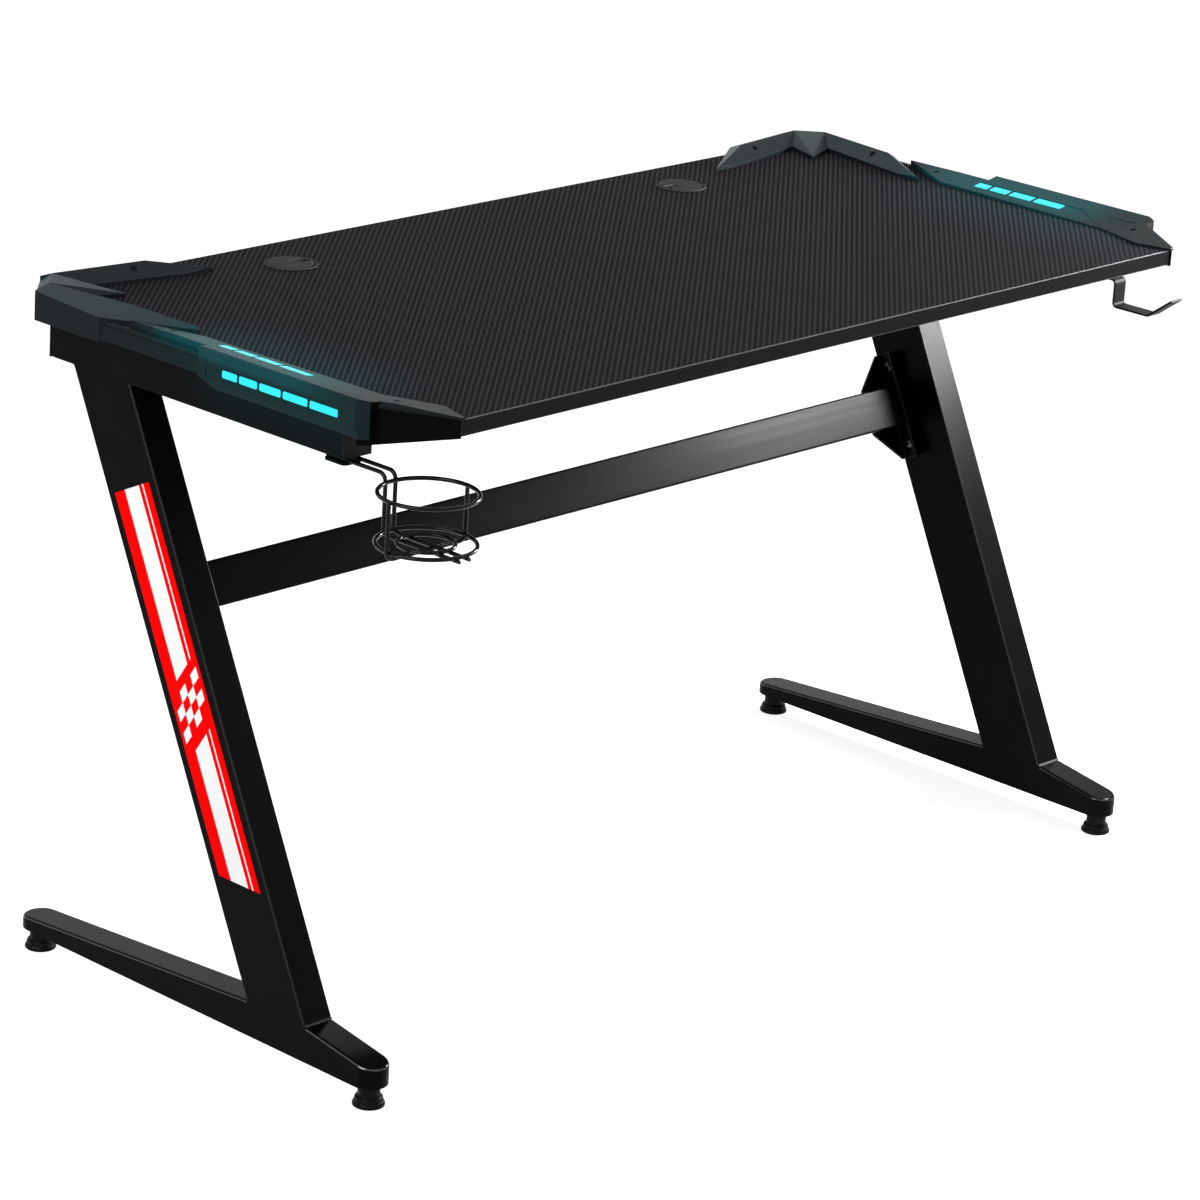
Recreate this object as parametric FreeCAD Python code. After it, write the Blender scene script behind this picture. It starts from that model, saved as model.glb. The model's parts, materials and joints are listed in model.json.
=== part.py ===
import FreeCAD, Part
import math
import os

V = FreeCAD.Vector
UP = V(0, 0, 1)

# Gaming desk: a panel on two leaning leg frames joined by one crossbar.
# Work frame: X to the right, Y to the back, Z up from the floor, with the
# middle of the rails at X = 0 and Y = 0. The finished part is then moved so
# that its origin is under the middle of its outline, on the floor.

# Tabletop
table_width = 1270.0
table_front = 335.0
table_back = 274.0
table_height = 750.0
table_thickness = 18.0
front_cut_across = 56.0
front_cut_along = 90.0
rear_cut = 40.0

# Top rails
rail_width = 40.0
rail_height = 42.0
rail_length = 448.0
rail_wall = 2.0
cap_thickness = 2.5
cap_plug = 6.0
cap_clearance = 0.15

# Screws from the rails into the panel
rail_screw_radius = 3.0
rail_screw_head_radius = 6.0
rail_screw_head = 3.5
rail_screw_bite = 12.0
rail_screw_spacing = 100.0
rail_screw_middle = -20.0
screw_clearance = 0.05
hole_clearance = 0.3

# Legs
leg_depth = 80.0
leg_wall = 2.0
leg_at_foot = -160.7
leg_at_rail = 142.0

# Feet
foot_low = 25.0
foot_crown = 39.0
foot_front = 305.0
foot_back = 262.0
foot_front_height = 23.0
foot_back_height = 14.0
foot_wall = 2.0
foot_round = 4.0
landing_margin = 3.0

# Levelling glides
glide_pad_radius = 17.5
glide_pad_top_radius = 14.5
glide_pad_height = 9.0
glide_pad_edge = 3.0
glide_collar_radius = 10.0
glide_stem_radius = 4.0
glide_stem_length = 10.0
glide_fit = 0.05
bush_radius = 8.0
bush_height = 7.0

# Crossbar and its brackets, set along and across the leaning leg
crossbar_height = 50.0
crossbar_depth = 25.0
crossbar_wall = 1.5
crossbar_along = 454.0
crossbar_across = 21.5
bracket_plate = 3.0
bracket_half_length = 66.0
bracket_lip = 15.0
gusset_reach = 48.0
gusset_end = 7.0
gusset_half_crest = 28.0
bracket_fit = 0.2
bracket_bolt_along = 48.0
bracket_bolt_radius = 4.0
bracket_bolt_head_radius = 7.0
bracket_bolt_head = 5.0
bracket_nut_radius = 7.5
bracket_nut = 6.0

# Rear corner trims: run along the edge from the corner, set in from the edge
trim_wall = 2.0
trim_fit = 0.3
corner_out = 9.0
corner_cut = 33.0
wing_skirt_run = 134.0
wing_tip_run = 227.0
wing_tip_set = 52.0
wing_shoulder_run = 193.0
wing_root_run = 62.0
wing_root_set = 31.0
notch_run = 78.0
ridge_run = 35.0
ridge_set = 8.0
ridge_end_run = 152.0
ridge_end_set = 24.0
ridge_rise = 17.0
corner_rim_rise = 5.0
tip_rise = 3.0
notch_rise = 4.0
corner_skirt_drop = 22.0
wing_screw_run = 132.0
wing_screw_set = 29.0

# Side trims: Y from the rails' middle, set in from the panel's side
side_tip_y = 102.0
side_back_y = 25.0
side_back_set = 39.0
side_waist_y = -229.0
side_waist_set = 48.0
side_flare_y = -296.0
side_flare_set = 70.0
side_nose_set = 58.0
side_front_out = 5.0
side_rim_rise = 1.6
side_crest_set = 3.0
side_crest_rise = 9.9
side_back_fall = 1.0
side_nose_rise = 2.4
side_front_rise = 7.0
facet_fold_y = -174.0
facet_bevel = 6.0
front_lip_rise = 4.0
front_lip_nose_rise = 0.6
trim_seam = 5.0
ledge_rise = 1.2
ledge_out = 7.0
ledge_drop = 19.0
ledge_step_drop = 3.0
ledge_step_in = 1.2
front_skirt_drop = 39.0
front_skirt_nose_drop = 19.0
front_skirt_wall = 3.4

# Light pods on the side trims
pod_back_y = -22.0
pod_front_y = -266.0
pod_corner_y = -254.0
pod_inner_set = 15.0
pod_inner_rise = 8.5
pod_crest_out = 10.5
pod_crest_rise = 13.1
pod_out = 13.0
pod_brow_rise = 11.6
pod_drop = 28.0
pod_heel_along = 24.0
pod_heel_up = 9.0
pod_front_out = 4.0
pod_foot_in = 3.0
pod_foot_rise = 9.0
pod_line_set = 12.0
pod_line_width = 1.2
pod_line_depth = 1.0
pod_line_rise = 2.0
pod_line_drop = 17.0

# Trim screws
trim_screw_radius = 2.0
trim_screw_head_radius = 3.6
trim_screw_head = 2.5
trim_screw_bite = 11.0
trim_boss_radius = 6.5
trim_boss_seat = 2.4
side_screw_back_y = 50.0
side_screw_back_set = 17.0
side_screw_front_y = -265.0
side_screw_front_set = 34.0

# Lights
side_bar_start_y = -59.0
side_bar_length = 22.0
side_bar_growth = 4.6
side_bar_gap = 3.6
side_bar_height = 8.0
side_bar_drop = 8.0
top_bar_start_y = -19.0
top_bar_length = 20.0
top_bar_growth = 7.0
top_bar_gap = 3.0
top_bar_width = 12.0
top_bar_set = 22.5
bar_round = 1.8
bar_proud = 0.4
bar_fit = 0.1
along_share = 0.9
strip_margin = 1.5
strip_thickness = 1.0
board_thickness = 1.2
board_width = 12.0
chip_size = 3.0
chip_height = 0.8
SIDE_BARS = 5
TOP_BARS = 4

# Light leads, clips and controller
lead_width = 4.0
lead_thickness = 1.2
lead_fit = 0.3
lead_hole_y = -250.0
lead_beside = 2.4
lead_hole_radius = 3.5
lead_bridge_y = -200.0
clip_length = 8.0
clip_wall = 1.5
clip_foot = 5.0
clip_spacing = 240.0
case_width = 70.0
case_depth = 40.0
case_height = 18.0
case_wall = 2.0
case_right_set = 95.0
case_cover = 2.0
button_radius = 5.0
button_flange = 1.5
button_flange_radius = 6.5
button_travel = 1.5
button_pressed_proud = 1.0
button_gap = 0.3
inlet_radius = 5.5
inlet_bore = 2.8
inlet_length = 12.0
inlet_flange_radius = 7.0
inlet_flange = 1.5

# Cable grommets
grommet_x = 317.0
grommet_y = 196.0
grommet_flange_radius = 30.0
grommet_flange = 1.5
grommet_sleeve_radius = 26.5
grommet_sleeve_depth = 15.0
grommet_wall = 2.0
grommet_ledge = 2.0
grommet_cap = 3.0
grommet_fit = 0.3
grommet_slot_width = 7.0
grommet_slot_depth = 9.0
grommet_recess_width = 15.0
grommet_recess_depth = 24.0
grommet_recess = 1.0

# Cup holder
cup_out = 3.0
cup_ahead = 108.0
cup_ring_drop = 10.0
cup_depth = 52.0
cup_ring_radius = 51.0
cup_base_radius = 29.0
cup_wire_radius = 2.25
cup_weld = 1.0
cup_arm_half_gap = 7.0
cup_arm_bend = 9.0
cup_plate_length = 32.0
cup_plate_width = 27.0
cup_plate_thickness = 2.5
cup_plate_round = 6.0
cup_plate_ahead = 1.0
cup_screw_pitch = 14.0
cup_screw_set = 11.0
accessory_screw_radius = 2.5
accessory_screw_head_radius = 5.0
accessory_screw_head = 3.0
accessory_screw_grip = 8.0

# Headset hook
hook_width = 20.0
hook_thickness = 2.5
hook_grip = 56.0
hook_ahead = 19.0
hook_drop = 33.0
hook_floor_length = 51.0
hook_lip_length = 33.0
hook_lip_rise = 25.0
hook_bend = 5.0
hook_screw_pitch = 26.0
hook_screw_set = 12.0

# Stripe decal on the left leg
decal_width = 58.0
decal_thickness = 0.3
decal_low_z = 191.0
decal_high_along = 573.0

half_width = table_width / 2
panel_low = table_height - table_thickness
rail_low = panel_low - rail_height
leg_inner = half_width - rail_width
leg_middle = half_width - rail_width / 2
foot_top = foot_low + foot_crown
leg_lean = math.atan2(leg_at_rail - leg_at_foot, rail_low - foot_top)
leg_half = leg_depth / 2 / math.cos(leg_lean)
leg_foot = V(0, leg_at_foot, foot_top)
foot_radius = rail_width / 2
crossbar_half = crossbar_height / 2
button_proud = button_travel + button_pressed_proud
rail_end = rail_length / 2
cup_x = -leg_middle - cup_out
cup_y = -rail_end - cup_ahead
cup_ring_z = rail_low - cup_ring_drop
cup_base_z = cup_ring_z - cup_depth
cup_plate_front = rail_end + cup_plate_ahead
hook_back = rail_end - hook_grip
hook_drop_y = -rail_end - hook_ahead
hook_floor_z = rail_low - hook_drop
hook_lip_foot_y = hook_drop_y - hook_floor_length
hook_lip_y = hook_lip_foot_y - hook_lip_length
hook_lip_z = hook_floor_z + hook_lip_rise
lead_hole_x = leg_inner - lead_beside
cup_reach = cup_ring_radius + 2 * cup_wire_radius - cup_weld
footprint_left = cup_x - cup_reach - cup_wire_radius
footprint_right = half_width + pod_out
footprint_front = cup_y - cup_reach - cup_wire_radius
footprint_back = table_back + corner_out
origin = V((footprint_left + footprint_right) / 2, (footprint_front + footprint_back) / 2, 0)


def box(low, high):
    size = high.sub(low)
    return Part.makeBox(size.x, size.y, size.z, low)


def prism(points, low, high):
    """Upright prism over an outline of X, Y points."""
    ring = [V(x, y, low) for x, y in points]
    return Part.Face(Part.makePolygon(ring + ring[:1])).extrude(V(0, 0, high - low))


def side_prism(points, start, end):
    """Prism along X over an outline of Y, Z points."""
    ring = [V(start, y, z) for y, z in points]
    return Part.Face(Part.makePolygon(ring + ring[:1])).extrude(V(end - start, 0, 0))


def end_prism(points, start, end):
    """Prism along Y over an outline of X, Z points."""
    ring = [V(x, start, z) for x, z in points]
    return Part.Face(Part.makePolygon(ring + ring[:1])).extrude(V(0, end - start, 0))


def rod(x, y, low, high, radius):
    return Part.makeCylinder(radius, high - low, V(x, y, low))


def under(shape, a, b, c):
    """What is left of a shape under the plane through three points."""
    normal = b.sub(a).cross(c.sub(a))
    if normal.z < 0:
        normal = V(-normal.x, -normal.y, -normal.z)
    block = Part.makeBox(table_width, table_width, table_width, V(-half_width, -half_width, 0))
    block.Placement = FreeCAD.Placement(a, FreeCAD.Rotation(UP, normal))
    return shape.cut(block)


def mirrored(shape):
    return shape.mirror(V(0, 0, 0), V(1, 0, 0))


def inset(points, distance):
    """Outline moved inwards by a distance, with its corners kept sharp."""
    pairs = list(zip(points, points[1:] + points[:1]))
    turn = math.copysign(1, sum(a[0] * b[1] - b[0] * a[1] for a, b in pairs))
    lines = []
    for a, b in pairs:
        run = math.hypot(b[0] - a[0], b[1] - a[1])
        side = (-(b[1] - a[1]) / run * turn, (b[0] - a[0]) / run * turn)
        lines.append((side, side[0] * a[0] + side[1] * a[1] + distance))
    moved = []
    for (n, d), (m, e) in zip(lines[-1:] + lines[:-1], lines):
        cross = n[0] * m[1] - n[1] * m[0]
        moved.append(((d * m[1] - e * n[1]) / cross, (e * n[0] - d * m[0]) / cross))
    return moved


def leaned(shape):
    """Shape drawn about an upright leg line, laid along the leaning leg."""
    shape = shape.copy()
    shape.rotate(V(0, 0, 0), V(1, 0, 0), -math.degrees(leg_lean))
    shape.translate(leg_foot)
    return shape


def bent_path(points, bend):
    """Wire through the points with its corners rounded."""
    edges = []
    start = points[0]
    for corner, after in zip(points[1:-1], points[2:]):
        into = corner.sub(start).normalize()
        out = after.sub(corner).normalize()
        half_turn = into.getAngle(out) / 2
        reach = bend * math.tan(half_turn)
        first = corner - into * reach
        last = corner + out * reach
        inward = (out - into).normalize()
        middle = corner + inward * (bend / math.cos(half_turn) - bend)
        edges.append(Part.makeLine(start, first))
        edges.append(Part.Arc(first, middle, last).toShape())
        start = last
    edges.append(Part.makeLine(start, points[-1]))
    return Part.Wire(edges)


def bent_wire(points, bend, radius):
    path = bent_path(points, bend)
    section = Part.Wire(Part.makeCircle(radius, points[0], points[1].sub(points[0])))
    return path.makePipeShell([section], True, True)


def panel_outline():
    return [
        (-half_width, front_cut_along - table_front),
        (front_cut_across - half_width, -table_front),
        (half_width - front_cut_across, -table_front),
        (half_width, front_cut_along - table_front),
        (half_width, table_back - rear_cut),
        (half_width - rear_cut, table_back),
        (rear_cut - half_width, table_back),
        (-half_width, table_back - rear_cut),
    ]


def rail_screw_places():
    steps = (-1, 0, 1)
    rows = [rail_screw_middle + step * rail_screw_spacing for step in steps]
    return [(side * leg_middle, y) for side in (-1, 1) for y in rows]


def corner_screw_places():
    near = (half_width - wing_screw_run, table_back - wing_screw_set)
    far = (half_width - wing_screw_set, table_back - wing_screw_run)
    return [near, far]


def side_screw_places():
    back = (half_width - side_screw_back_set, side_screw_back_y)
    front = (half_width - side_screw_front_set, side_screw_front_y)
    return [back, front]


def trim_screw_places():
    right = corner_screw_places() + side_screw_places()
    return right + [(-x, y) for x, y in right]


def tabletop():
    panel = prism(panel_outline(), panel_low, table_height)
    holes = []
    for side in (-1, 1):
        holes.append(
            rod(side * grommet_x, grommet_y, panel_low, table_height, grommet_sleeve_radius + hole_clearance)
        )
        holes.append(rod(side * lead_hole_x, lead_hole_y, panel_low, table_height, lead_hole_radius))
    for x, y in rail_screw_places():
        holes.append(rod(x, y, panel_low, panel_low + rail_screw_bite, rail_screw_radius + screw_clearance))
    for x, y in trim_screw_places():
        low = table_height - trim_screw_bite
        holes.append(rod(x, y, low, table_height, trim_screw_radius + screw_clearance))
    return panel.cut(holes)


def rail_tube():
    """Right rail, open at both ends."""
    end = rail_length / 2
    tube = box(V(leg_inner, -end, rail_low), V(half_width, end, panel_low))
    bore = box(
        V(leg_inner + rail_wall, -end, rail_low + rail_wall),
        V(half_width - rail_wall, end, panel_low - rail_wall),
    )
    hole = rail_screw_radius + hole_clearance
    holes = [rod(x, y, rail_low, panel_low, hole) for x, y in rail_screw_places() if x > 0]
    return tube.cut([bore] + holes)


def top_rail(side):
    tube = rail_tube()
    if side < 0:
        tube = mirrored(tube)
    holes = []
    for x, y in accessory_screw_places(side):
        hole = accessory_screw_radius + screw_clearance
        holes.append(rod(x, y, rail_low, rail_low + rail_wall, hole))
    return tube.cut(holes)


def rail_end_caps():
    caps = []
    for end in (-1, 1):
        face = end * rail_length / 2
        outer = face + end * cap_thickness
        inner = face - end * cap_plug
        plate = box(
            V(leg_inner, min(face, outer), rail_low),
            V(half_width, max(face, outer), panel_low),
        )
        gap = rail_wall + cap_clearance
        plug = box(
            V(leg_inner + gap, min(face, inner), rail_low + gap),
            V(half_width - gap, max(face, inner), panel_low - gap),
        )
        caps.append(plate.fuse(plug).removeSplitter())
    return Part.makeCompound(caps)


def rail_screws():
    screws = []
    for x, y in rail_screw_places():
        shank = rod(x, y, rail_low, panel_low + rail_screw_bite, rail_screw_radius)
        head = rod(x, y, rail_low - rail_screw_head, rail_low, rail_screw_head_radius)
        screws.append(shank.fuse(head))
    return Part.makeCompound(screws)


def leg_block(wall):
    half = leg_half - wall / math.cos(leg_lean)
    outline = [
        (leg_at_foot - half, foot_top),
        (leg_at_foot + half, foot_top),
        (leg_at_rail + half, rail_low),
        (leg_at_rail - half, rail_low),
    ]
    return side_prism(outline, leg_inner + wall, half_width - wall)


def bracket_bolt_marks():
    """Places of the bolts along and across the leg."""
    return [(crossbar_along + step * bracket_bolt_along, crossbar_across) for step in (-1, 1)]


def cross_rod(along, across, start, end, radius):
    """Rod along X at a place on the leaning leg."""
    return leaned(Part.makeCylinder(radius, end - start, V(start, across, along), V(1, 0, 0)))


def leg_tube():
    tube = leg_block(0).cut(leg_block(leg_wall))
    holes = []
    for along, across in bracket_bolt_marks():
        hole = bracket_bolt_radius + hole_clearance
        holes.append(cross_rod(along, across, leg_inner, leg_inner + leg_wall, hole))
    return tube.cut(holes)


def foot_block(wall):
    """Foot shape with its walls moved inwards."""
    radius = foot_radius - wall
    back = foot_back - foot_radius
    front = -(foot_front - foot_radius)
    low = foot_low + wall
    plan = box(V(leg_middle - radius, front, low), V(leg_middle + radius, back, foot_top))
    plan = plan.fuse([rod(leg_middle, y, low, foot_top, radius) for y in (front, back)]).removeSplitter()
    heel = foot_low + foot_back_height - wall
    toe = foot_low + foot_front_height - wall
    crown = foot_top - wall
    outline = [
        (-foot_front, low),
        (-foot_front, toe),
        (leg_at_foot - leg_half - landing_margin, crown),
        (leg_at_foot + leg_half + landing_margin, crown),
        (foot_back, heel),
        (foot_back, low),
    ]
    return plan.common(side_prism(outline, leg_inner, half_width))


def glide_places():
    return [-(foot_front - foot_radius), foot_back - foot_radius]


def foot_rim(shell):
    """Upper edges of the foot, without the ridges straight across it."""
    high = [e for e in shell.Edges if e.BoundBox.ZMin > foot_low + foot_round]
    return [e for e in high if e.BoundBox.YLength > foot_wall]


def foot():
    shell = foot_block(0)
    shell = shell.makeFillet(foot_round, foot_rim(shell))
    shell = shell.cut(foot_block(foot_wall))
    hole = glide_stem_radius + hole_clearance
    holes = [rod(leg_middle, y, foot_low, foot_low + foot_wall, hole) for y in glide_places()]
    return shell.cut(holes)


def glide_bushes():
    bushes = []
    low = foot_low + foot_wall
    for y in glide_places():
        body = rod(leg_middle, y, low, low + bush_height, bush_radius)
        bushes.append(body.cut(rod(leg_middle, y, low, low + bush_height, glide_stem_radius + glide_fit)))
    return Part.makeCompound(bushes)


def glide(y):
    pad = rod(leg_middle, y, 0, glide_pad_edge, glide_pad_radius)
    slope = glide_pad_height - glide_pad_edge
    cone = Part.makeCone(glide_pad_radius, glide_pad_top_radius, slope, V(leg_middle, y, glide_pad_edge))
    collar = rod(leg_middle, y, glide_pad_height, foot_low, glide_collar_radius)
    stem = rod(leg_middle, y, foot_low, foot_low + glide_stem_length, glide_stem_radius)
    return pad.fuse([cone, collar, stem])


def crossbar_end():
    return leg_inner - bracket_plate


def crossbar():
    low = V(-crossbar_end(), crossbar_across - crossbar_depth / 2, crossbar_along - crossbar_half)
    high = V(crossbar_end(), crossbar_across + crossbar_depth / 2, crossbar_along + crossbar_half)
    wall = V(0, crossbar_wall, crossbar_wall)
    return leaned(box(low, high).cut(box(low.add(wall), high.sub(wall))))


def bracket():
    """Right bracket: plate on the leg, low lip in front, gusset behind the bar."""
    half_gap = crossbar_depth / 2 + bracket_fit
    front = crossbar_across - half_gap - bracket_plate
    back = crossbar_across + half_gap + bracket_plate
    low = crossbar_along - bracket_half_length
    high = crossbar_along + bracket_half_length
    plate = box(V(crossbar_end(), front, low), V(leg_inner, back, high))
    lip = box(V(leg_inner - bracket_lip, front, low), V(leg_inner, front + bracket_plate, high))
    outline = [
        (leg_inner, low),
        (leg_inner - gusset_end, low),
        (leg_inner - gusset_reach, crossbar_along - gusset_half_crest),
        (leg_inner - gusset_reach, crossbar_along + gusset_half_crest),
        (leg_inner - gusset_end, high),
        (leg_inner, high),
    ]
    gusset = end_prism(outline, back - bracket_plate, back)
    body = leaned(plate.fuse([lip, gusset]).removeSplitter())
    hole = bracket_bolt_radius + hole_clearance
    marks = bracket_bolt_marks()
    return body.cut([cross_rod(a, c, crossbar_end(), leg_inner, hole) for a, c in marks])


def bracket_bolts():
    bolts = []
    nut_out = leg_inner + leg_wall + bracket_nut
    for along, across in bracket_bolt_marks():
        shank = cross_rod(along, across, crossbar_end(), nut_out, bracket_bolt_radius)
        head_in = crossbar_end() - bracket_bolt_head
        head = cross_rod(along, across, head_in, crossbar_end(), bracket_bolt_head_radius)
        bolts.append(shank.fuse(head))
    return Part.makeCompound(bolts + [mirrored(bolt) for bolt in bolts])


def leg_nuts():
    nuts = []
    start = leg_inner + leg_wall
    for along, across in bracket_bolt_marks():
        body = cross_rod(along, across, start, start + bracket_nut, bracket_nut_radius)
        bore = cross_rod(along, across, start, start + bracket_nut, bracket_bolt_radius + screw_clearance)
        nuts.append(body.cut(bore))
    return Part.makeCompound(nuts + [mirrored(nut) for nut in nuts])


def panel_room():
    """Space that the panel takes up inside the trims."""
    outline = inset(panel_outline(), -trim_fit)
    return prism(outline, panel_low - table_height, table_height)


def corner_spot(run, set_in, rise):
    return V(half_width - run, table_back - set_in, table_height + rise)


def corner_prism(outline, wall):
    points = [(half_width - u, table_back - v) for u, v in outline]
    low = table_height - corner_skirt_drop
    return prism(inset(points, wall), low, table_height + ridge_rise)


def wing(wall):
    """Arm of the rear corner trim along the back edge."""
    outline = [
        (corner_cut, -corner_out),
        (wing_skirt_run, -corner_out),
        (wing_tip_run, wing_tip_set),
        (wing_shoulder_run, wing_tip_set),
        (wing_root_run, wing_root_set),
        (ridge_run, ridge_set),
    ]
    arm = corner_prism(outline, wall)
    root = corner_spot(ridge_run, ridge_set, ridge_rise - wall)
    end = corner_spot(ridge_end_run, ridge_end_set, ridge_rise - wall)
    brow = corner_spot(wing_skirt_run, -corner_out, corner_rim_rise - wall)
    arm = under(arm, root, end, corner_spot(wing_root_run, wing_root_set, corner_rim_rise - wall))
    arm = under(arm, root, end, brow)
    return under(arm, end, brow, corner_spot(wing_tip_run, wing_tip_set, tip_rise - wall))


def across_corner(shape):
    """Same shape on the other side of the corner's diagonal."""
    return shape.mirror(corner_spot(0, 0, 0), V(1, -1, 0))


def corner_middle(wall):
    outline = [
        (corner_cut, -corner_out),
        (wing_root_run, wing_root_set),
        (notch_run, notch_run),
        (wing_root_set, wing_root_run),
        (-corner_out, corner_cut),
    ]
    body = corner_prism(outline, wall)
    near = corner_spot(ridge_run, ridge_set, ridge_rise - wall)
    far = corner_spot(ridge_set, ridge_run, ridge_rise - wall)
    tip = corner_spot(notch_run, notch_run, notch_rise - wall)
    body = under(body, near, far, tip)
    body = under(body, near, tip, corner_spot(wing_root_run, wing_root_set, corner_rim_rise - wall))
    body = under(body, far, tip, corner_spot(wing_root_set, wing_root_run, corner_rim_rise - wall))
    return under(body, near, far, corner_spot(corner_cut, -corner_out, corner_rim_rise - wall))


def corner_block(wall):
    arm = wing(wall)
    return corner_middle(wall).fuse([arm, across_corner(arm)]).removeSplitter()


def bossed(trim, solid, places):
    """Trim with a post and a stepped hole at each screw."""
    seat = table_height + trim_boss_seat
    for x, y in places:
        post = rod(x, y, table_height, table_height + ridge_rise, trim_boss_radius).common(solid)
        trim = trim.fuse(post).removeSplitter()
    for x, y in places:
        trim = trim.cut(rod(x, y, table_height, seat, trim_screw_radius + hole_clearance))
        top = table_height + 2 * ridge_rise
        trim = trim.cut(rod(x, y, seat, top, trim_screw_head_radius + hole_clearance))
    return trim


def rear_corner_trim():
    """Right rear corner trim."""
    solid = corner_block(0).cut(panel_room())
    return bossed(solid.cut(corner_block(trim_wall)), solid, corner_screw_places())


def front_cut_normal():
    run = math.hypot(front_cut_across, front_cut_along)
    return (front_cut_along / run, -front_cut_across / run)


def front_cut_ends(out):
    """Ends of the panel's front corner cut, moved outwards."""
    nx, ny = front_cut_normal()
    side = (half_width + out * nx, front_cut_along - table_front + out * ny)
    front = (half_width - front_cut_across + out * nx, -table_front + out * ny)
    return side, front


def deck(wall):
    """Sloping top of the side trim over the panel."""
    outline = [
        (half_width - side_crest_set, side_tip_y),
        (half_width - side_back_set, side_back_y),
        (half_width - side_waist_set, side_waist_y),
        (half_width - side_crest_set, side_waist_y),
    ]
    body = prism(inset(outline, wall), table_height, table_height + ridge_rise)
    rim_x = half_width - side_waist_set
    crest_x = half_width - side_crest_set
    rim_z = table_height + side_rim_rise - wall
    crest_z = table_height + side_crest_rise - wall
    body = under(body, V(rim_x, 0, rim_z), V(crest_x, 0, crest_z), V(rim_x, pod_back_y, rim_z))
    tip = V(crest_x, side_tip_y, crest_z - side_back_fall)
    return under(body, V(rim_x, side_back_y, rim_z), V(crest_x, side_back_y, crest_z), tip)


def front_facet(wall, out):
    """Front end of the side trim, sloping from the pod's crest to the flared rim."""
    side, front = front_cut_ends(out)
    inner_x = half_width - pod_inner_set
    crest_x = half_width + pod_crest_out
    flare_x = half_width - side_flare_set
    outline = [
        (inner_x, facet_fold_y),
        (half_width - side_waist_set, side_waist_y),
        (flare_x, side_flare_y),
        (half_width - side_nose_set, front[1]),
        front,
        side,
        (crest_x, facet_fold_y),
    ]
    body = prism(inset(outline, wall), table_height, table_height + ridge_rise)
    top = table_height - wall
    crest = V(crest_x, pod_front_y, top + pod_crest_rise)
    fold = V(inner_x, facet_fold_y, top + pod_inner_rise)
    waist = V(half_width - side_waist_set, side_waist_y, top + side_rim_rise)
    flare = V(flare_x, side_flare_y, top + side_nose_rise)
    nose = V(half_width - side_nose_set, front[1], top + side_nose_rise)
    start = V(crest_x, facet_fold_y, crest.z)
    rear = under(under(body, crest, waist, fold), crest, fold, start)
    body = rear.fuse(under(under(body, crest, waist, flare), crest, flare, nose))
    body = under(body, crest, start, V(half_width + pod_out, pod_front_y, top + pod_brow_rise))
    strip_end = front_cut_ends(out - facet_bevel)[0]
    brow = V(side[0], side[1], top + side_front_rise)
    tip = V(front[0], front[1], top + side_nose_rise)
    return under(body, brow, tip, V(strip_end[0], strip_end[1], crest.z))


def front_undercut():
    """Room under the side trim's front lip, outside its skirt."""
    side, front = front_cut_ends(side_front_out)
    near, tip = front_cut_ends(front_skirt_wall)
    room = prism([side, front, tip, near], table_height, table_height + ridge_rise)
    a = V(side[0], side[1], table_height + front_lip_rise)
    b = V(front[0], front[1], table_height + front_lip_nose_rise)
    return under(room, a, b, V(near[0], near[1], a.z))


def ledge(wall, rise):
    """Step and skirt of the side trim behind the pod, up to a rise over the panel."""
    outline = [
        (half_width + ledge_out, table_back - wing_skirt_run - trim_seam),
        (half_width + ledge_out, pod_corner_y),
        (half_width - pod_inner_set, pod_corner_y),
        (half_width - pod_inner_set, side_back_y),
        (half_width - side_crest_set, side_tip_y),
    ]
    low = table_height - ledge_drop
    return prism(inset(outline, wall), low, table_height + rise)


def ledge_step():
    """Strip taken off the ledge's upper edge."""
    face = half_width + ledge_out
    low = V(face - ledge_step_in, pod_corner_y, table_height - ledge_step_drop)
    return box(low, V(face, table_back, table_height + ledge_rise))


def pod(wall):
    """Housing of the lights, over the panel's side and down its edge."""
    low = table_height - pod_drop
    outline = [
        (half_width - pod_inner_set, low),
        (half_width - pod_inner_set, table_height + pod_inner_rise),
        (half_width + pod_crest_out, table_height + pod_crest_rise),
        (half_width + pod_out, table_height + pod_brow_rise),
        (half_width + pod_out, low + pod_foot_rise),
        (half_width + pod_out - pod_foot_in, low),
    ]
    back = pod_back_y - wall
    body = end_prism(inset(outline, wall), pod_front_y + wall, back)
    plan = [
        (half_width - pod_inner_set, pod_front_y),
        (half_width - pod_inner_set, pod_back_y),
        (half_width + pod_out, pod_back_y),
        (half_width + pod_out, pod_corner_y),
        (half_width + pod_front_out, pod_front_y),
    ]
    body = body.common(prism(inset(plan, wall), low, table_height + ridge_rise))
    heel = [
        (pod_back_y - pod_heel_along, low),
        (pod_back_y, low + pod_heel_up),
        (pod_back_y, low),
    ]
    body = body.cut(side_prism(heel, half_width - pod_inner_set, half_width + pod_out))
    brow_z = table_height + pod_brow_rise - wall
    corner = V(half_width + pod_out, pod_corner_y, brow_z)
    front = V(half_width + pod_front_out, pod_front_y, brow_z)
    crest = V(half_width + pod_crest_out, pod_corner_y, table_height + pod_crest_rise - wall)
    return under(body, corner, front, crest)


def pod_line():
    """Short groove across the pod's side, behind the row of bars."""
    face = half_width + pod_out
    back = pod_back_y - pod_line_set
    low = V(face - pod_line_depth, back - pod_line_width, table_height - pod_line_drop)
    return box(low, V(face, back, table_height + pod_line_rise))


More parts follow.
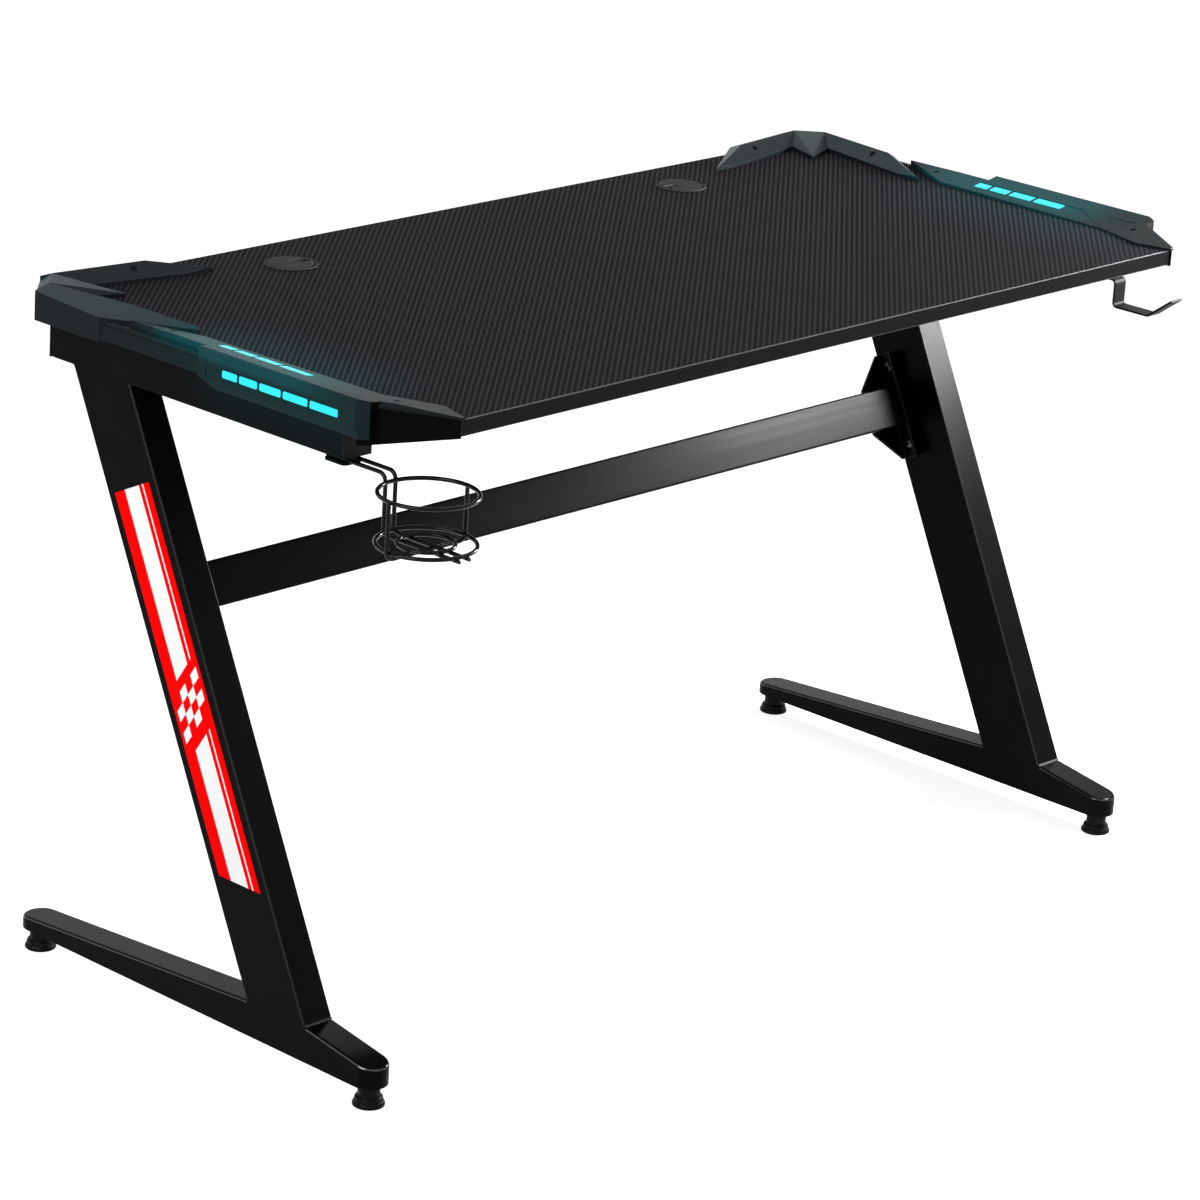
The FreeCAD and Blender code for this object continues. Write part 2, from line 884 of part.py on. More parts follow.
def front_skirt():
    """Plate under the side trim along the panel's front corner cut."""
    side, front = front_cut_ends(front_skirt_wall)
    near, tip = front_cut_ends(0)
    top = table_height + front_lip_nose_rise
    plate = prism([side, front, tip, near], table_height - front_skirt_drop, top)
    nx, ny = front_cut_normal()
    a = V(side[0], side[1], table_height - front_skirt_drop)
    b = V(front[0], front[1], table_height - front_skirt_nose_drop)
    c = V(a.x - nx * front_skirt_wall, a.y - ny * front_skirt_wall, a.z)
    return plate.cut(under(plate, a, b, c))


def pod_cavity():
    """Room for the lights inside the pod, open to the panel's edge."""
    hollow = pod(trim_wall)
    low = table_height - pod_drop
    mouth = box(
        V(half_width - pod_inner_set, pod_front_y, low - pod_drop),
        V(half_width, pod_back_y, table_height),
    )
    return hollow.fuse(mouth)


def bars(start, length, growth, gap, count):
    """Ends in Y of a row of light bars, each longer than the one before."""
    rows = []
    for step in range(count):
        end = start - length - step * growth
        rows.append((end, start))
        start = end - gap
    return rows


def side_bars():
    return bars(side_bar_start_y, side_bar_length, side_bar_growth, side_bar_gap, SIDE_BARS)


def top_bars():
    return bars(top_bar_start_y, top_bar_length, top_bar_growth, top_bar_gap, TOP_BARS)


def deck_lean():
    return math.atan2(side_crest_rise - side_rim_rise, side_waist_set - side_crest_set)


def on_deck(shape):
    """Shape drawn flat about the row of top bars, laid on the sloping deck."""
    rise = side_rim_rise + (side_waist_set - top_bar_set) * math.tan(deck_lean())
    shape = shape.copy()
    shape.rotate(V(0, 0, 0), V(0, 1, 0), -math.degrees(deck_lean()))
    shape.translate(V(half_width - top_bar_set, 0, table_height + rise))
    return shape


def rounded(block, direction, radius):
    """Block with the corners seen along a direction rounded."""
    edges = [e for e in block.Edges if abs(e.tangentAt(e.FirstParameter).dot(direction)) > along_share]
    return block.makeFillet(radius, edges)


def side_bar(low_y, high_y, depth, proud, fit):
    middle = table_height - side_bar_drop
    half = side_bar_height / 2 + fit
    face = half_width + pod_out
    block = box(V(face - depth, low_y - fit, middle - half), V(face + proud, high_y + fit, middle + half))
    return rounded(block, V(1, 0, 0), bar_round)


def top_bar(low_y, high_y, depth, proud, fit):
    half = top_bar_width / 2 + fit
    return rounded(box(V(-half, low_y - fit, -depth), V(half, high_y + fit, proud)), UP, bar_round)


def deck_wall():
    return trim_wall * math.cos(deck_lean())


def side_diffuser():
    rows = side_bars()
    middle = table_height - side_bar_drop
    half = side_bar_height / 2 + strip_margin
    back = half_width + pod_out - trim_wall
    low = V(back - strip_thickness, rows[-1][0] - strip_margin, middle - half)
    high = V(back, rows[0][1] + strip_margin, middle + half)
    return box(low, high).fuse([side_bar(a, b, trim_wall, bar_proud, 0) for a, b in rows])


def top_diffuser():
    rows = top_bars()
    half = top_bar_width / 2 + strip_margin
    low = V(-half, rows[-1][0] - strip_margin, -deck_wall() - strip_thickness)
    high = V(half, rows[0][1] + strip_margin, -deck_wall())
    strip = box(low, high)
    return on_deck(strip.fuse([top_bar(a, b, deck_wall(), bar_proud, 0) for a, b in rows]))


def lead_room():
    """Groove under the side trim for the lead that lies on the panel."""
    edge = lead_hole_x - lead_thickness / 2 - lead_fit
    front = lead_hole_y - lead_width / 2 - lead_fit
    back = top_bars()[-1][0] + lead_fit
    high = table_height + lead_thickness + lead_fit
    return box(V(edge, front, table_height), V(edge + lead_width + 2 * lead_fit, back, high))


def side_trim():
    """Right side trim with its light pod."""
    room = panel_room()
    back = ledge(0, ledge_rise).cut(ledge_step())
    nose = front_facet(0, side_front_out).cut(front_undercut())
    solid = deck(0).fuse([nose, back, pod(0).cut(pod_line())]).removeSplitter().cut(room)
    rooms = [front_facet(trim_wall, trim_wall), ledge(trim_wall, 0), pod_cavity(), lead_room()]
    hollow = deck(trim_wall).fuse(rooms)
    trim = solid.cut(hollow).fuse(front_skirt().cut(room)).removeSplitter()
    slots = [side_bar(a, b, 2 * trim_wall, trim_wall, bar_fit) for a, b in side_bars()]
    slots += [on_deck(top_bar(a, b, 2 * trim_wall, trim_wall, bar_fit)) for a, b in top_bars()]
    return bossed(trim.cut(slots), solid, side_screw_places())


def trim_screws():
    screws = []
    seat = table_height + trim_boss_seat
    for x, y in trim_screw_places():
        shank = rod(x, y, table_height - trim_screw_bite, seat, trim_screw_radius)
        screws.append(shank.fuse(rod(x, y, seat, seat + trim_screw_head, trim_screw_head_radius)))
    return Part.makeCompound(screws)


def top_board():
    rows = top_bars()
    x = half_width - top_bar_set
    low = V(x - board_width / 2, rows[-1][0], table_height)
    board = box(low, V(x + board_width / 2, rows[0][1], table_height + board_thickness))
    face = table_height + board_thickness
    half = chip_size / 2
    chips = []
    for a, b in rows:
        y = (a + b) / 2
        chips.append(box(V(x - half, y - half, face), V(x + half, y + half, face + chip_height)))
    return board.fuse(chips)


def side_board():
    rows = side_bars()
    middle = table_height - side_bar_drop
    low = V(half_width, rows[-1][0], middle - board_width / 2)
    board = box(low, V(half_width + board_thickness, rows[0][1], middle + board_width / 2))
    face = half_width + board_thickness
    half = chip_size / 2
    chips = []
    for a, b in rows:
        y = (a + b) / 2
        chips.append(box(V(face, y - half, middle - half), V(face + chip_height, y + half, middle + half)))
    return board.fuse(chips)


def case_right():
    return half_width - case_right_set


def case_left():
    return case_right() - case_width


def lead_strip(x_low, x_high, y_low, y_high, low):
    return box(V(x_low, y_low, low), V(x_high, y_high, low + lead_thickness))


def light_lead(side, case_face):
    """Flat lead from the boards, down through the panel and along its underside."""
    half = lead_width / 2
    top = table_height
    hole_x = lead_hole_x
    board_x = half_width - top_bar_set
    board_end = top_bars()[-1][0]
    bridge_low = lead_bridge_y - half
    bridge_high = lead_bridge_y + half
    rim = half_width + board_thickness
    down = box(
        V(hole_x - lead_thickness / 2, lead_hole_y - half, panel_low - lead_thickness),
        V(hole_x + lead_thickness / 2, lead_hole_y + half, top + lead_thickness),
    )
    edge = hole_x - lead_thickness / 2
    along = lead_strip(edge, edge + lead_width, lead_hole_y - half, board_end, top)
    across = lead_strip(hole_x, board_x, board_end - lead_width, board_end, top)
    bridge = lead_strip(hole_x, rim, bridge_low, bridge_high, top)
    board_top = top - side_bar_drop + board_width / 2
    drop = box(V(half_width, bridge_low, board_top), V(rim, bridge_high, top))
    body = down.fuse([across, along, bridge, drop])
    if side < 0:
        body = mirrored(body)
    ends = sorted([side * hole_x, case_face])
    low = panel_low - lead_thickness
    run = lead_strip(ends[0], ends[1], lead_hole_y - half, lead_hole_y + half, low)
    return body.fuse(run).removeSplitter()


def lead_clips():
    clips = []
    half = lead_width / 2 + bar_fit
    drop = lead_thickness + bar_fit
    for step in (-1, 0, 1):
        x = step * clip_spacing
        low = V(x - clip_length / 2, lead_hole_y - half - clip_foot, panel_low - drop - clip_wall)
        high = V(x + clip_length / 2, lead_hole_y + half + clip_foot, panel_low)
        room = box(
            V(low.x, lead_hole_y - half, panel_low - drop),
            V(high.x, lead_hole_y + half, panel_low),
        )
        clips.append(box(low, high).cut(room))
    return Part.makeCompound(clips)


def case_box(wall):
    half = case_depth / 2
    low = V(case_left() + wall, lead_hole_y - half + wall, panel_low - case_height)
    return box(low, V(case_right() - wall, lead_hole_y + half - wall, panel_low))


def case_middle():
    return panel_low - case_height / 2


def controller_case():
    """Box under the panel, closed from below by its cover."""
    body = case_box(0).cut(case_box(case_wall))
    front = lead_hole_y - case_depth / 2
    back = lead_hole_y + case_depth / 2
    x = (case_left() + case_right()) / 2
    along = V(0, 1, 0)
    hole = Part.makeCylinder(button_radius + button_gap, case_wall, V(x, front, case_middle()), along)
    jack = Part.makeCylinder(inlet_radius + bar_fit, case_wall, V(x, back - case_wall, case_middle()), along)
    half = lead_width / 2 + bar_fit
    slot = box(
        V(case_left(), lead_hole_y - half, panel_low - lead_thickness - bar_fit),
        V(case_right(), lead_hole_y + half, panel_low),
    )
    return body.cut([hole, jack, slot])


def controller_cover():
    half = case_depth / 2
    top = panel_low - case_height
    low = V(case_left(), lead_hole_y - half, top - case_cover)
    plate = box(low, V(case_right(), lead_hole_y + half, top))
    gap = case_wall + bar_fit
    lip = box(
        V(case_left() + gap, lead_hole_y - half + gap, top),
        V(case_right() - gap, lead_hole_y + half - gap, top + case_cover),
    )
    return plate.fuse(lip).removeSplitter()


def controller_button():
    x = (case_left() + case_right()) / 2
    face = lead_hole_y - case_depth / 2
    along = V(0, 1, 0)
    front = V(x, face - button_proud, case_middle())
    stem = Part.makeCylinder(button_radius, button_proud + case_wall, front, along)
    back = V(x, face + case_wall, case_middle())
    return stem.fuse(Part.makeCylinder(button_flange_radius, button_flange, back, along))


def controller_inlet():
    x = (case_left() + case_right()) / 2
    face = lead_hole_y + case_depth / 2
    along = V(0, -1, 0)
    start = V(x, face + inlet_flange, case_middle())
    flange = Part.makeCylinder(inlet_flange_radius, inlet_flange, start, along)
    body = Part.makeCylinder(inlet_radius, inlet_length, V(x, face, case_middle()), along)
    bore = Part.makeCylinder(inlet_bore, inlet_length, start, along)
    return flange.fuse(body).cut(bore)


def grommet_ring(side):
    x = side * grommet_x
    low = table_height - grommet_sleeve_depth
    top = table_height + grommet_flange
    bore = grommet_sleeve_radius - grommet_wall
    ring = rod(x, grommet_y, low, top, grommet_sleeve_radius)
    ring = ring.fuse(rod(x, grommet_y, table_height, top, grommet_flange_radius))
    ring = ring.cut(rod(x, grommet_y, low, top, bore - grommet_ledge))
    return ring.cut(rod(x, grommet_y, top - grommet_cap, top, bore)).removeSplitter()


def rim_slot(side, width, depth, drop):
    """Round-ended slot from the cap's rim inwards, cut down from its top."""
    top = table_height + grommet_flange
    half = width / 2
    rim = grommet_sleeve_radius - grommet_wall - grommet_fit
    inner = side * (grommet_x - rim + depth - half)
    ends = sorted([inner, side * (grommet_x - grommet_flange_radius)])
    mouth = box(V(ends[0], grommet_y - half, top - drop), V(ends[1], grommet_y + half, top))
    return rod(inner, grommet_y, top - drop, top, half).fuse(mouth)


def grommet_cap_disc(side):
    x = side * grommet_x
    top = table_height + grommet_flange
    radius = grommet_sleeve_radius - grommet_wall - grommet_fit
    disc = rod(x, grommet_y, top - grommet_cap, top, radius)
    slot = rim_slot(side, grommet_slot_width, grommet_slot_depth, grommet_cap)
    recess = rim_slot(side, grommet_recess_width, grommet_recess_depth, grommet_recess)
    return disc.cut([slot, recess])


def accessory_screw_places(side):
    if side < 0:
        first = cup_plate_front - cup_screw_set
        return [(cup_x, -first), (cup_x, cup_screw_pitch - first)]
    first = hook_back + hook_screw_set
    return [(leg_middle, -first), (leg_middle, -first - hook_screw_pitch)]


def accessory_screws(side, grip):
    screws = []
    for x, y in accessory_screw_places(side):
        seat = rail_low - grip
        shank = rod(x, y, seat, rail_low + accessory_screw_grip, accessory_screw_radius)
        screws.append(shank.fuse(rod(x, y, seat - accessory_screw_head, seat, accessory_screw_head_radius)))
    return Part.makeCompound(screws)


def cup_holder():
    wire = cup_wire_radius
    touch = 2 * wire - cup_weld
    rims = [(cup_ring_radius, cup_ring_z), (cup_ring_radius, cup_base_z), (cup_base_radius, cup_base_z)]
    rings = [Part.makeTorus(radius, wire, V(cup_x, cup_y, z)) for radius, z in rims]
    arm_z = rail_low - wire
    under_z = cup_base_z - touch
    behind = cup_y + math.sqrt(cup_ring_radius**2 - cup_arm_half_gap**2) + touch
    ahead = cup_y - cup_reach
    wires = []
    for side in (-1, 1):
        x = cup_x + side * cup_arm_half_gap
        path = [V(x, cup_plate_length - cup_plate_front, arm_z), V(x, behind, arm_z), V(x, behind, under_z)]
        wires.append(bent_wire(path + [V(x, ahead, under_z)], cup_arm_bend, wire))
    low = under_z - touch
    side_x = cup_ring_radius + touch
    cradle = [V(cup_x - side_x, cup_y, cup_ring_z), V(cup_x - side_x, cup_y, low)]
    cradle += [V(cup_x + side_x, cup_y, low), V(cup_x + side_x, cup_y, cup_ring_z)]
    wires.append(bent_wire(cradle, cup_arm_bend, wire))
    return rings[0].fuse(rings[1:] + wires)


def cup_plate():
    top = rail_low - 2 * cup_wire_radius
    half = cup_plate_width / 2
    low = V(cup_x - half, -cup_plate_front, top - cup_plate_thickness)
    plate = box(low, V(cup_x + half, cup_plate_length - cup_plate_front, top))
    plate = rounded(plate, UP, cup_plate_round)
    gap = cup_arm_half_gap - cup_wire_radius - hole_clearance
    rib = box(
        V(cup_x - gap, -cup_plate_front, top),
        V(cup_x + gap, cup_plate_length - cup_plate_front, rail_low),
    )
    hole = accessory_screw_radius + hole_clearance
    holes = [rod(x, y, low.z, rail_low, hole) for x, y in accessory_screw_places(-1)]
    return plate.fuse(rib).removeSplitter().cut(holes)


def headset_hook():
    half = hook_width / 2
    top = rail_low - hook_thickness / 2
    path = [
        V(leg_middle, -hook_back, top),
        V(leg_middle, hook_drop_y, top),
        V(leg_middle, hook_drop_y, hook_floor_z),
        V(leg_middle, hook_lip_foot_y, hook_floor_z),
        V(leg_middle, hook_lip_y, hook_lip_z),
    ]
    corners = [(-half, -1), (half, -1), (half, 1), (-half, 1)]
    ring = [V(leg_middle + x, -hook_back, top + side * hook_thickness / 2) for x, side in corners]
    strip = bent_path(path, hook_bend).makePipeShell([Part.makePolygon(ring + ring[:1])], True, False)
    hole = accessory_screw_radius + hole_clearance
    holes = [rod(x, y, rail_low - hook_thickness, rail_low, hole) for x, y in accessory_screw_places(1)]
    return strip.cut(holes)


def leg_decal():
    """Thin film on the outer face of the left leg."""
    half = decal_width / 2
    low_along = -leg_depth
    film = box(V(-half_width - decal_thickness, -half, low_along), V(-half_width, half, decal_high_along))
    film = leaned(film)
    base = V(-half_width - decal_thickness, -table_width, -table_width)
    return film.cut(box(base, V(-half_width, table_width, decal_low_z)))


def nodes():
    """Every piece by name."""
    parts = {
        "tabletop": tabletop(),
        "left_top_rail": top_rail(-1),
        "right_top_rail": top_rail(1),
        "crossbar": crossbar(),
        "bracket_bolts": bracket_bolts(),
        "leg_nuts": leg_nuts(),
        "rail_screws": rail_screws(),
        "trim_screws": trim_screws(),
        "left_light_lead": light_lead(-1, case_left()),
        "right_light_lead": light_lead(1, case_right()),
        "lead_clips": lead_clips(),
        "controller_case": controller_case(),
        "controller_cover": controller_cover(),
        "controller_button": controller_button(),
        "controller_inlet": controller_inlet(),
        "cup_holder": cup_holder(),
        "cup_plate": cup_plate(),
        "cup_screws": accessory_screws(-1, 2 * cup_wire_radius + cup_plate_thickness),
        "headset_hook": headset_hook(),
        "hook_screws": accessory_screws(1, hook_thickness),
        "left_leg_decal": leg_decal(),
    }
    pairs = {
        "rail_end_caps": rail_end_caps(),
        "leg_tube": leg_tube(),
        "foot": foot(),
        "glide_bushes": glide_bushes(),
        "front_glide": glide(glide_places()[0]),
        "rear_glide": glide(glide_places()[1]),
        "crossbar_bracket": bracket(),
        "rear_corner_trim": rear_corner_trim(),
        "side_trim": side_trim(),
        "top_diffuser": top_diffuser(),
        "side_diffuser": side_diffuser(),
        "top_light_board": top_board(),
        "side_light_board": side_board(),
    }
    for name, shape in pairs.items():
        parts["right_" + name] = shape
        parts["left_" + name] = mirrored(shape)
    for name, side in (("left", -1), ("right", 1)):
        parts[name + "_grommet_ring"] = grommet_ring(side)
        parts[name + "_grommet_cap"] = grommet_cap_disc(side)
    return parts


os.makedirs("parts", exist_ok=True)
for name, shape in nodes().items():
    shape.translate(V(-origin.x, -origin.y, 0))
    shape.exportStep("parts/" + name + ".step")
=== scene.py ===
import json
import math

import bmesh
import bpy
from mathutils import Matrix, Vector


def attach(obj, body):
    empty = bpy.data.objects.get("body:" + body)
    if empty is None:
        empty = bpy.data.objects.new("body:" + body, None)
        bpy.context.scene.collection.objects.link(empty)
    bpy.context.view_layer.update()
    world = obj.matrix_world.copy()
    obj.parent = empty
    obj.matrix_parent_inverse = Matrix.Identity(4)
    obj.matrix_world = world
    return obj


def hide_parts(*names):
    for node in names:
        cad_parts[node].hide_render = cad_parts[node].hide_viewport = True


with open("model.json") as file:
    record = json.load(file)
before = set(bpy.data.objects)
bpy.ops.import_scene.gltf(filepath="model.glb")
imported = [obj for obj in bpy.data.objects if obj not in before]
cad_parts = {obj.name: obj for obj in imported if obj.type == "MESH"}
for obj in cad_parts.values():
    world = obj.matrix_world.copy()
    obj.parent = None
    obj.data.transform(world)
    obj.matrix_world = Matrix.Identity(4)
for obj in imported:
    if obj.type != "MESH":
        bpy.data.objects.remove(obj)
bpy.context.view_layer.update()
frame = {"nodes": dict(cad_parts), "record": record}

# Lengths are in millimetres and become metres where a mesh or a node takes them.
MM = 0.001

# Middle of the rails, from which the places below are measured
MIDDLE_X = 13.375
MIDDLE_Y = 52.875
SIDES = {"left_": -1, "right_": 1}

# Panel and frame
HALF_WIDTH = 635.0
PANEL_TOP = 750.0
RAIL_LOW = 690.0
TUBE_WIDTH = 40.0
LEG_MIDDLE = HALF_WIDTH - TUBE_WIDTH / 2
LEG_INNER = HALF_WIDTH - TUBE_WIDTH
LEG_DEPTH = 80.0
LEG_AT_FOOT = -160.7
LEG_AT_RAIL = 142.0
FOOT_TOP = 64.0
LEG_LEAN = math.atan2(LEG_AT_RAIL - LEG_AT_FOOT, RAIL_LOW - FOOT_TOP)
LEG_HALF = LEG_DEPTH / 2 / math.cos(LEG_LEAN)

# Rounds along the edges of the rails and crossbar, legs and feet, and the least length of such an edge
RAIL_ROUND = 2.5
LEG_ROUND = 1.5
FOOT_ROUND = 4.0
TUBE_EDGE = 100.0

# Upright share of the normals along the painted highlight line of a foot's rim
RIM_LEAST = 0.35
RIM_MOST = 0.7

# Beads of weld: spread over the leg's end, step in from the tube's faces, share left at the top, and round
WELD_SPREAD = 2.2
WELD_STEP = 0.6
WELD_TAPER = 0.985
WELD_ROUND = 0.9
# How far the ground welds run past the leg
GROUND_PAST = 2.5

# Back and top of the side trims' front skirts
SKIRT_BACK = -262.0
SKIRT_TOP = PANEL_TOP + 0.7

# Bolts of the crossbar's brackets, along and across the leg
BOLT_ALONG = (406.0, 502.0)
BOLT_ACROSS = 21.5
BOLT_SEAT = 592.0

# Places of the screws and heights of their seats
TRIM_SCREW_PLACES = ((503.0, 245.0), (606.0, 142.0), (618.0, 50.0), (601.0, -265.0))
TRIM_SEAT = 752.4
RAIL_SCREW_PLACES = (-120.0, -20.0, 80.0)
CUP_SCREW_PLACES = (-214.0, -200.0)
CUP_SCREW_X = -618.0
CUP_SEAT = 683.0
HOOK_SCREW_PLACES = (-180.0, -206.0)
HOOK_SEAT = 687.5

# Screws and bolts: radius and height of the head, radius and length of the shank
TRIM_SCREW = (3.6, 2.5, 2.0, 13.4)
RAIL_SCREW = (6.0, 3.5, 3.0, 54.0)
CUP_SCREW = (5.0, 3.0, 2.5, 15.0)
HOOK_SCREW = (5.0, 3.0, 2.5, 10.5)
BRACKET_BOLT = (7.0, 5.0, 4.0, 11.0)

# Levelling glides: Y of each, and the turned profile as radius and height, from the pad's hollow to the stem
GLIDE_PLACES = {"front": -285.0, "rear": 242.0}
GLIDE_PROFILE = (
    (0, 0.6), (12.0, 0.6), (13.0, 0), (16.4, 0), (17.3, 0.7), (17.5, 1.8), (17.4, 3.0),
    (16.2, 5.6), (15.5, 6.0), (15.4, 6.8), (15.3, 8.8), (14.6, 10.4), (13.4, 11.0), (12.4, 11.2),
    (12.1, 11.8), (12.0, 23.4), (11.4, 24.6), (10.6, 25.0), (4.0, 25.0), (4.0, 35.0), (0, 35.0),
)

# Steps round a full turn of a lathe shape
SCREW_STEPS = 32
BOLT_STEPS = 36
GLIDE_STEPS = 48

# Rows of light bars: X, height, front and back ends, and how far the painted glow they throw shows
TOP_ROW = (612.5, 757.0, -150.0, 12.0, 95.0)
SIDE_ROW = (652.0, 742.0, -218.0, -50.0, 80.0)
# The same for the painted glow that falls on the panel's film
LEFT_FILM_ROW = (600.0, 750.0, -160.0, -10.0, 130.0)
RIGHT_FILM_ROW = (600.0, 750.0, -200.0, -70.0, 180.0)
# Middles of the gaps between the top bars
TOP_GAPS = (-40.5, -70.5, -107.5)
# Colour of the painted glow that the bars throw on what is near them
BAR_GLOW = "#00D8E4"

# Meshes: distances at which points are joined, or count as on a recess's wall
SOLID_JOIN = 0.002
LATHE_JOIN = 0.001
ON_WALL = 0.01
# Angles up to which triangles are one flat face, past which an edge is rounded, and past which it stays crisp
FLAT_ANGLE = math.radians(0.5)
ROUNDED_ANGLE = math.radians(28)
CRISP_ANGLE = math.radians(40.0)
# Upright share of a normal past which a face is level
LEVEL = 0.999
# Numbers of a piece's finishes for its faces and for its rounded edges
FACE = 0
ROUND = 1

# Studio: floor in metres, strength of its own white, and of the room's light where no lens or mirror sees it
FLOOR_RADIUS = 14.0
FLOOR_STEPS = 96
FLOOR_WHITE = 0.84
ROOM_LIGHT = 0.35
# Softboxes in metres and watts: place, what they face, width, height and power
SOFTBOXES = {
    "top_softbox": ((0.9, -0.1, 3.0), (0.2, 0, 0.75), 2.4, 2.2, 22.0),
    "left_softbox": ((-3.4, -0.3, 2.2), (-0.6, 0, 0.5), 2.2, 2.2, 92.0),
    "front_softbox": ((-1.0, -3.4, 1.9), (0, 0, 0.5), 1.8, 1.4, 5.0),
    "right_softbox": ((1.19, -0.4, 0.87), (0.62, 0.1, 0.6), 0.4, 0.24, 43.0),
}

# Camera fitted to the photograph: place, directions of its frame, and lens
CAMERA_PLACE = (-3742.87, -3384.78, 2090.31)
CAMERA_RIGHT = (0.688168, -0.723191, 0.058476)
CAMERA_DOWN = (-0.190381, -0.257756, -0.947268)
CAMERA_AHEAD = (0.700128, 0.640747, -0.315062)
SENSOR_WIDTH = 36.0
FOCAL_LENGTH = 140.75
LENS_SHIFT = (0.0003, -0.0363)
FAR_CLIP = 60.0

# Settings of a mix of two colours
COLOURS = {"data_type": "RGBA"}


def linear(hex_colour):
    """sRGB hex value as linear red, green, blue and alpha."""
    parts = [int(hex_colour[i:i + 2], 16) / 255 for i in (1, 3, 5)]
    return tuple(c / 12.92 if c <= 0.04045 else ((c + 0.055) / 1.055) ** 2.4 for c in parts) + (1.0,)


def add(tree, kind, settings=None, inputs=None):
    """Adds a node. An input takes a value, a node's first output, or a node and an output's name."""
    node = tree.nodes.new("ShaderNode" + kind)
    for name, value in (settings or {}).items():
        setattr(node, name, value)
    for key, value in (inputs or {}).items():
        by_name = [s for s in node.inputs if s.enabled and s.name == key]
        port = node.inputs[key] if isinstance(key, int) else by_name[0]
        with_output = isinstance(value, tuple) and isinstance(value[0], bpy.types.Node)
        source, output = value if with_output else (value, None)
        if isinstance(source, bpy.types.Node):
            tree.links.new([s for s in source.outputs if s.enabled and output in (None, s.name)][0], port)
        else:
            port.default_value = value
    return node


def per_mm(size):
    """Texture scale at which one feature is about this many millimetres."""
    return 1 / (size * MM)


def blank(name):
    """New material with no nodes but its place on the object."""
    made = bpy.data.materials.new(name)
    made.use_nodes = True
    made.node_tree.nodes.clear()
    return made, made.node_tree, (add(made.node_tree, "TexCoord"), "Object")


def painted_bar_glow(tree, place, row, side=0):
    """Share of a row's painted glow at a place: 1 at the bars, 0 past their reach. Side 0 is both sides."""
    x, height, front, back, reach = row
    axes = add(tree, "SeparateXYZ", None, {0: place})
    from_middle = add(tree, "Math", {"operation": "SUBTRACT"}, {0: (axes, "X"), 1: MIDDLE_X * MM})
    if side:
        outwards = add(tree, "Math", {"operation": "MULTIPLY"}, {0: from_middle, 1: side})
    else:
        outwards = add(tree, "Math", {"operation": "ABSOLUTE"}, {0: from_middle})
    across = add(tree, "Math", {"operation": "SUBTRACT"}, {0: outwards, 1: x * MM})
    centre = ((front + back) / 2 + MIDDLE_Y) * MM
    from_centre = add(tree, "Math", {"operation": "SUBTRACT"}, {0: (axes, "Y"), 1: centre})
    along = add(tree, "Math", {"operation": "ABSOLUTE"}, {0: from_centre})
    past_end = add(tree, "Math", {"operation": "SUBTRACT"}, {0: along, 1: (back - front) / 2 * MM})
    past = add(tree, "Math", {"operation": "MAXIMUM"}, {0: past_end, 1: 0.0})
    over = add(tree, "Math", {"operation": "SUBTRACT"}, {0: (axes, "Z"), 1: height * MM})
    offset = add(tree, "CombineXYZ", None, {"X": across, "Y": past, "Z": over})
    distance = add(tree, "VectorMath", {"operation": "LENGTH"}, {0: offset})
    return add(tree, "MapRange", {"interpolation_type": "SMOOTHSTEP"},
               {"Value": distance, "From Max": reach * MM, "To Min": 1.0, "To Max": 0.0})


def powder_coat(name, dark, pale, sheen, roughness, glow=0.0, patch_size=25.0, drawn=1.0):
    """Powder baked on steel: an even black, with an orange peel that breaks up its highlights."""
    made, tree, place = blank(name)
    drift = add(tree, "TexNoise", None, {"Vector": place, "Scale": per_mm(70.0), "Detail": 3.0})
    colour = add(tree, "Mix", COLOURS, {"Factor": drift, "A": linear(dark), "B": linear(pale)})
    # A drawn tube keeps faint lines along X from its die
    run = add(tree, "Mapping", None, {"Vector": place, "Scale": (drawn, 1.0, 1.0)})
    patch = add(tree, "TexNoise", None, {"Vector": run, "Scale": per_mm(patch_size), "Detail": 4.0})
    rough = add(tree, "MapRange", None, {"Value": patch, "To Min": roughness[0], "To Max": roughness[1]})
    # Orange peel is 1 to 2 mm across
    peel = add(tree, "TexNoise", None, {"Vector": place, "Scale": per_mm(1.6), "Detail": 1.0})
    bump = add(tree, "Bump", None, {"Height": peel, "Distance": 0.02 * MM, "Strength": 0.5})
    inputs = {"Base Color": colour, "Roughness": rough, "Normal": bump, "Specular IOR Level": sheen}
    # Painted glow: emission where the side bars would light the steel
    if glow:
        near_bars = painted_bar_glow(tree, place, SIDE_ROW)
        inputs["Emission Color"] = linear(BAR_GLOW)
        inputs["Emission Strength"] = add(tree, "Math", {"operation": "MULTIPLY"}, {0: near_bars, 1: glow})
    add(tree, "OutputMaterial", None, {"Surface": add(tree, "BsdfPrincipled", None, inputs)})
    return made


def weld_bead():
    """Welds under the powder coat: black, with the ripples that the arc leaves."""
    made, tree, place = blank("powder_coat_on_weld")
    # Ripples are about 1.5 mm apart
    ripple = add(tree, "TexNoise", None, {"Vector": place, "Scale": per_mm(1.5), "Detail": 2.0})
    colour = add(tree, "Mix", COLOURS, {"Factor": ripple, "A": linear("#070708"), "B": linear("#131314")})
    bump = add(tree, "Bump", None, {"Height": ripple, "Distance": 0.4 * MM, "Strength": 0.9})
    shader = add(tree, "BsdfPrincipled", None,
                 {"Base Color": colour, "Roughness": 0.42, "Normal": bump, "Specular IOR Level": 0.12})
    add(tree, "OutputMaterial", None, {"Surface": shader})
    return made


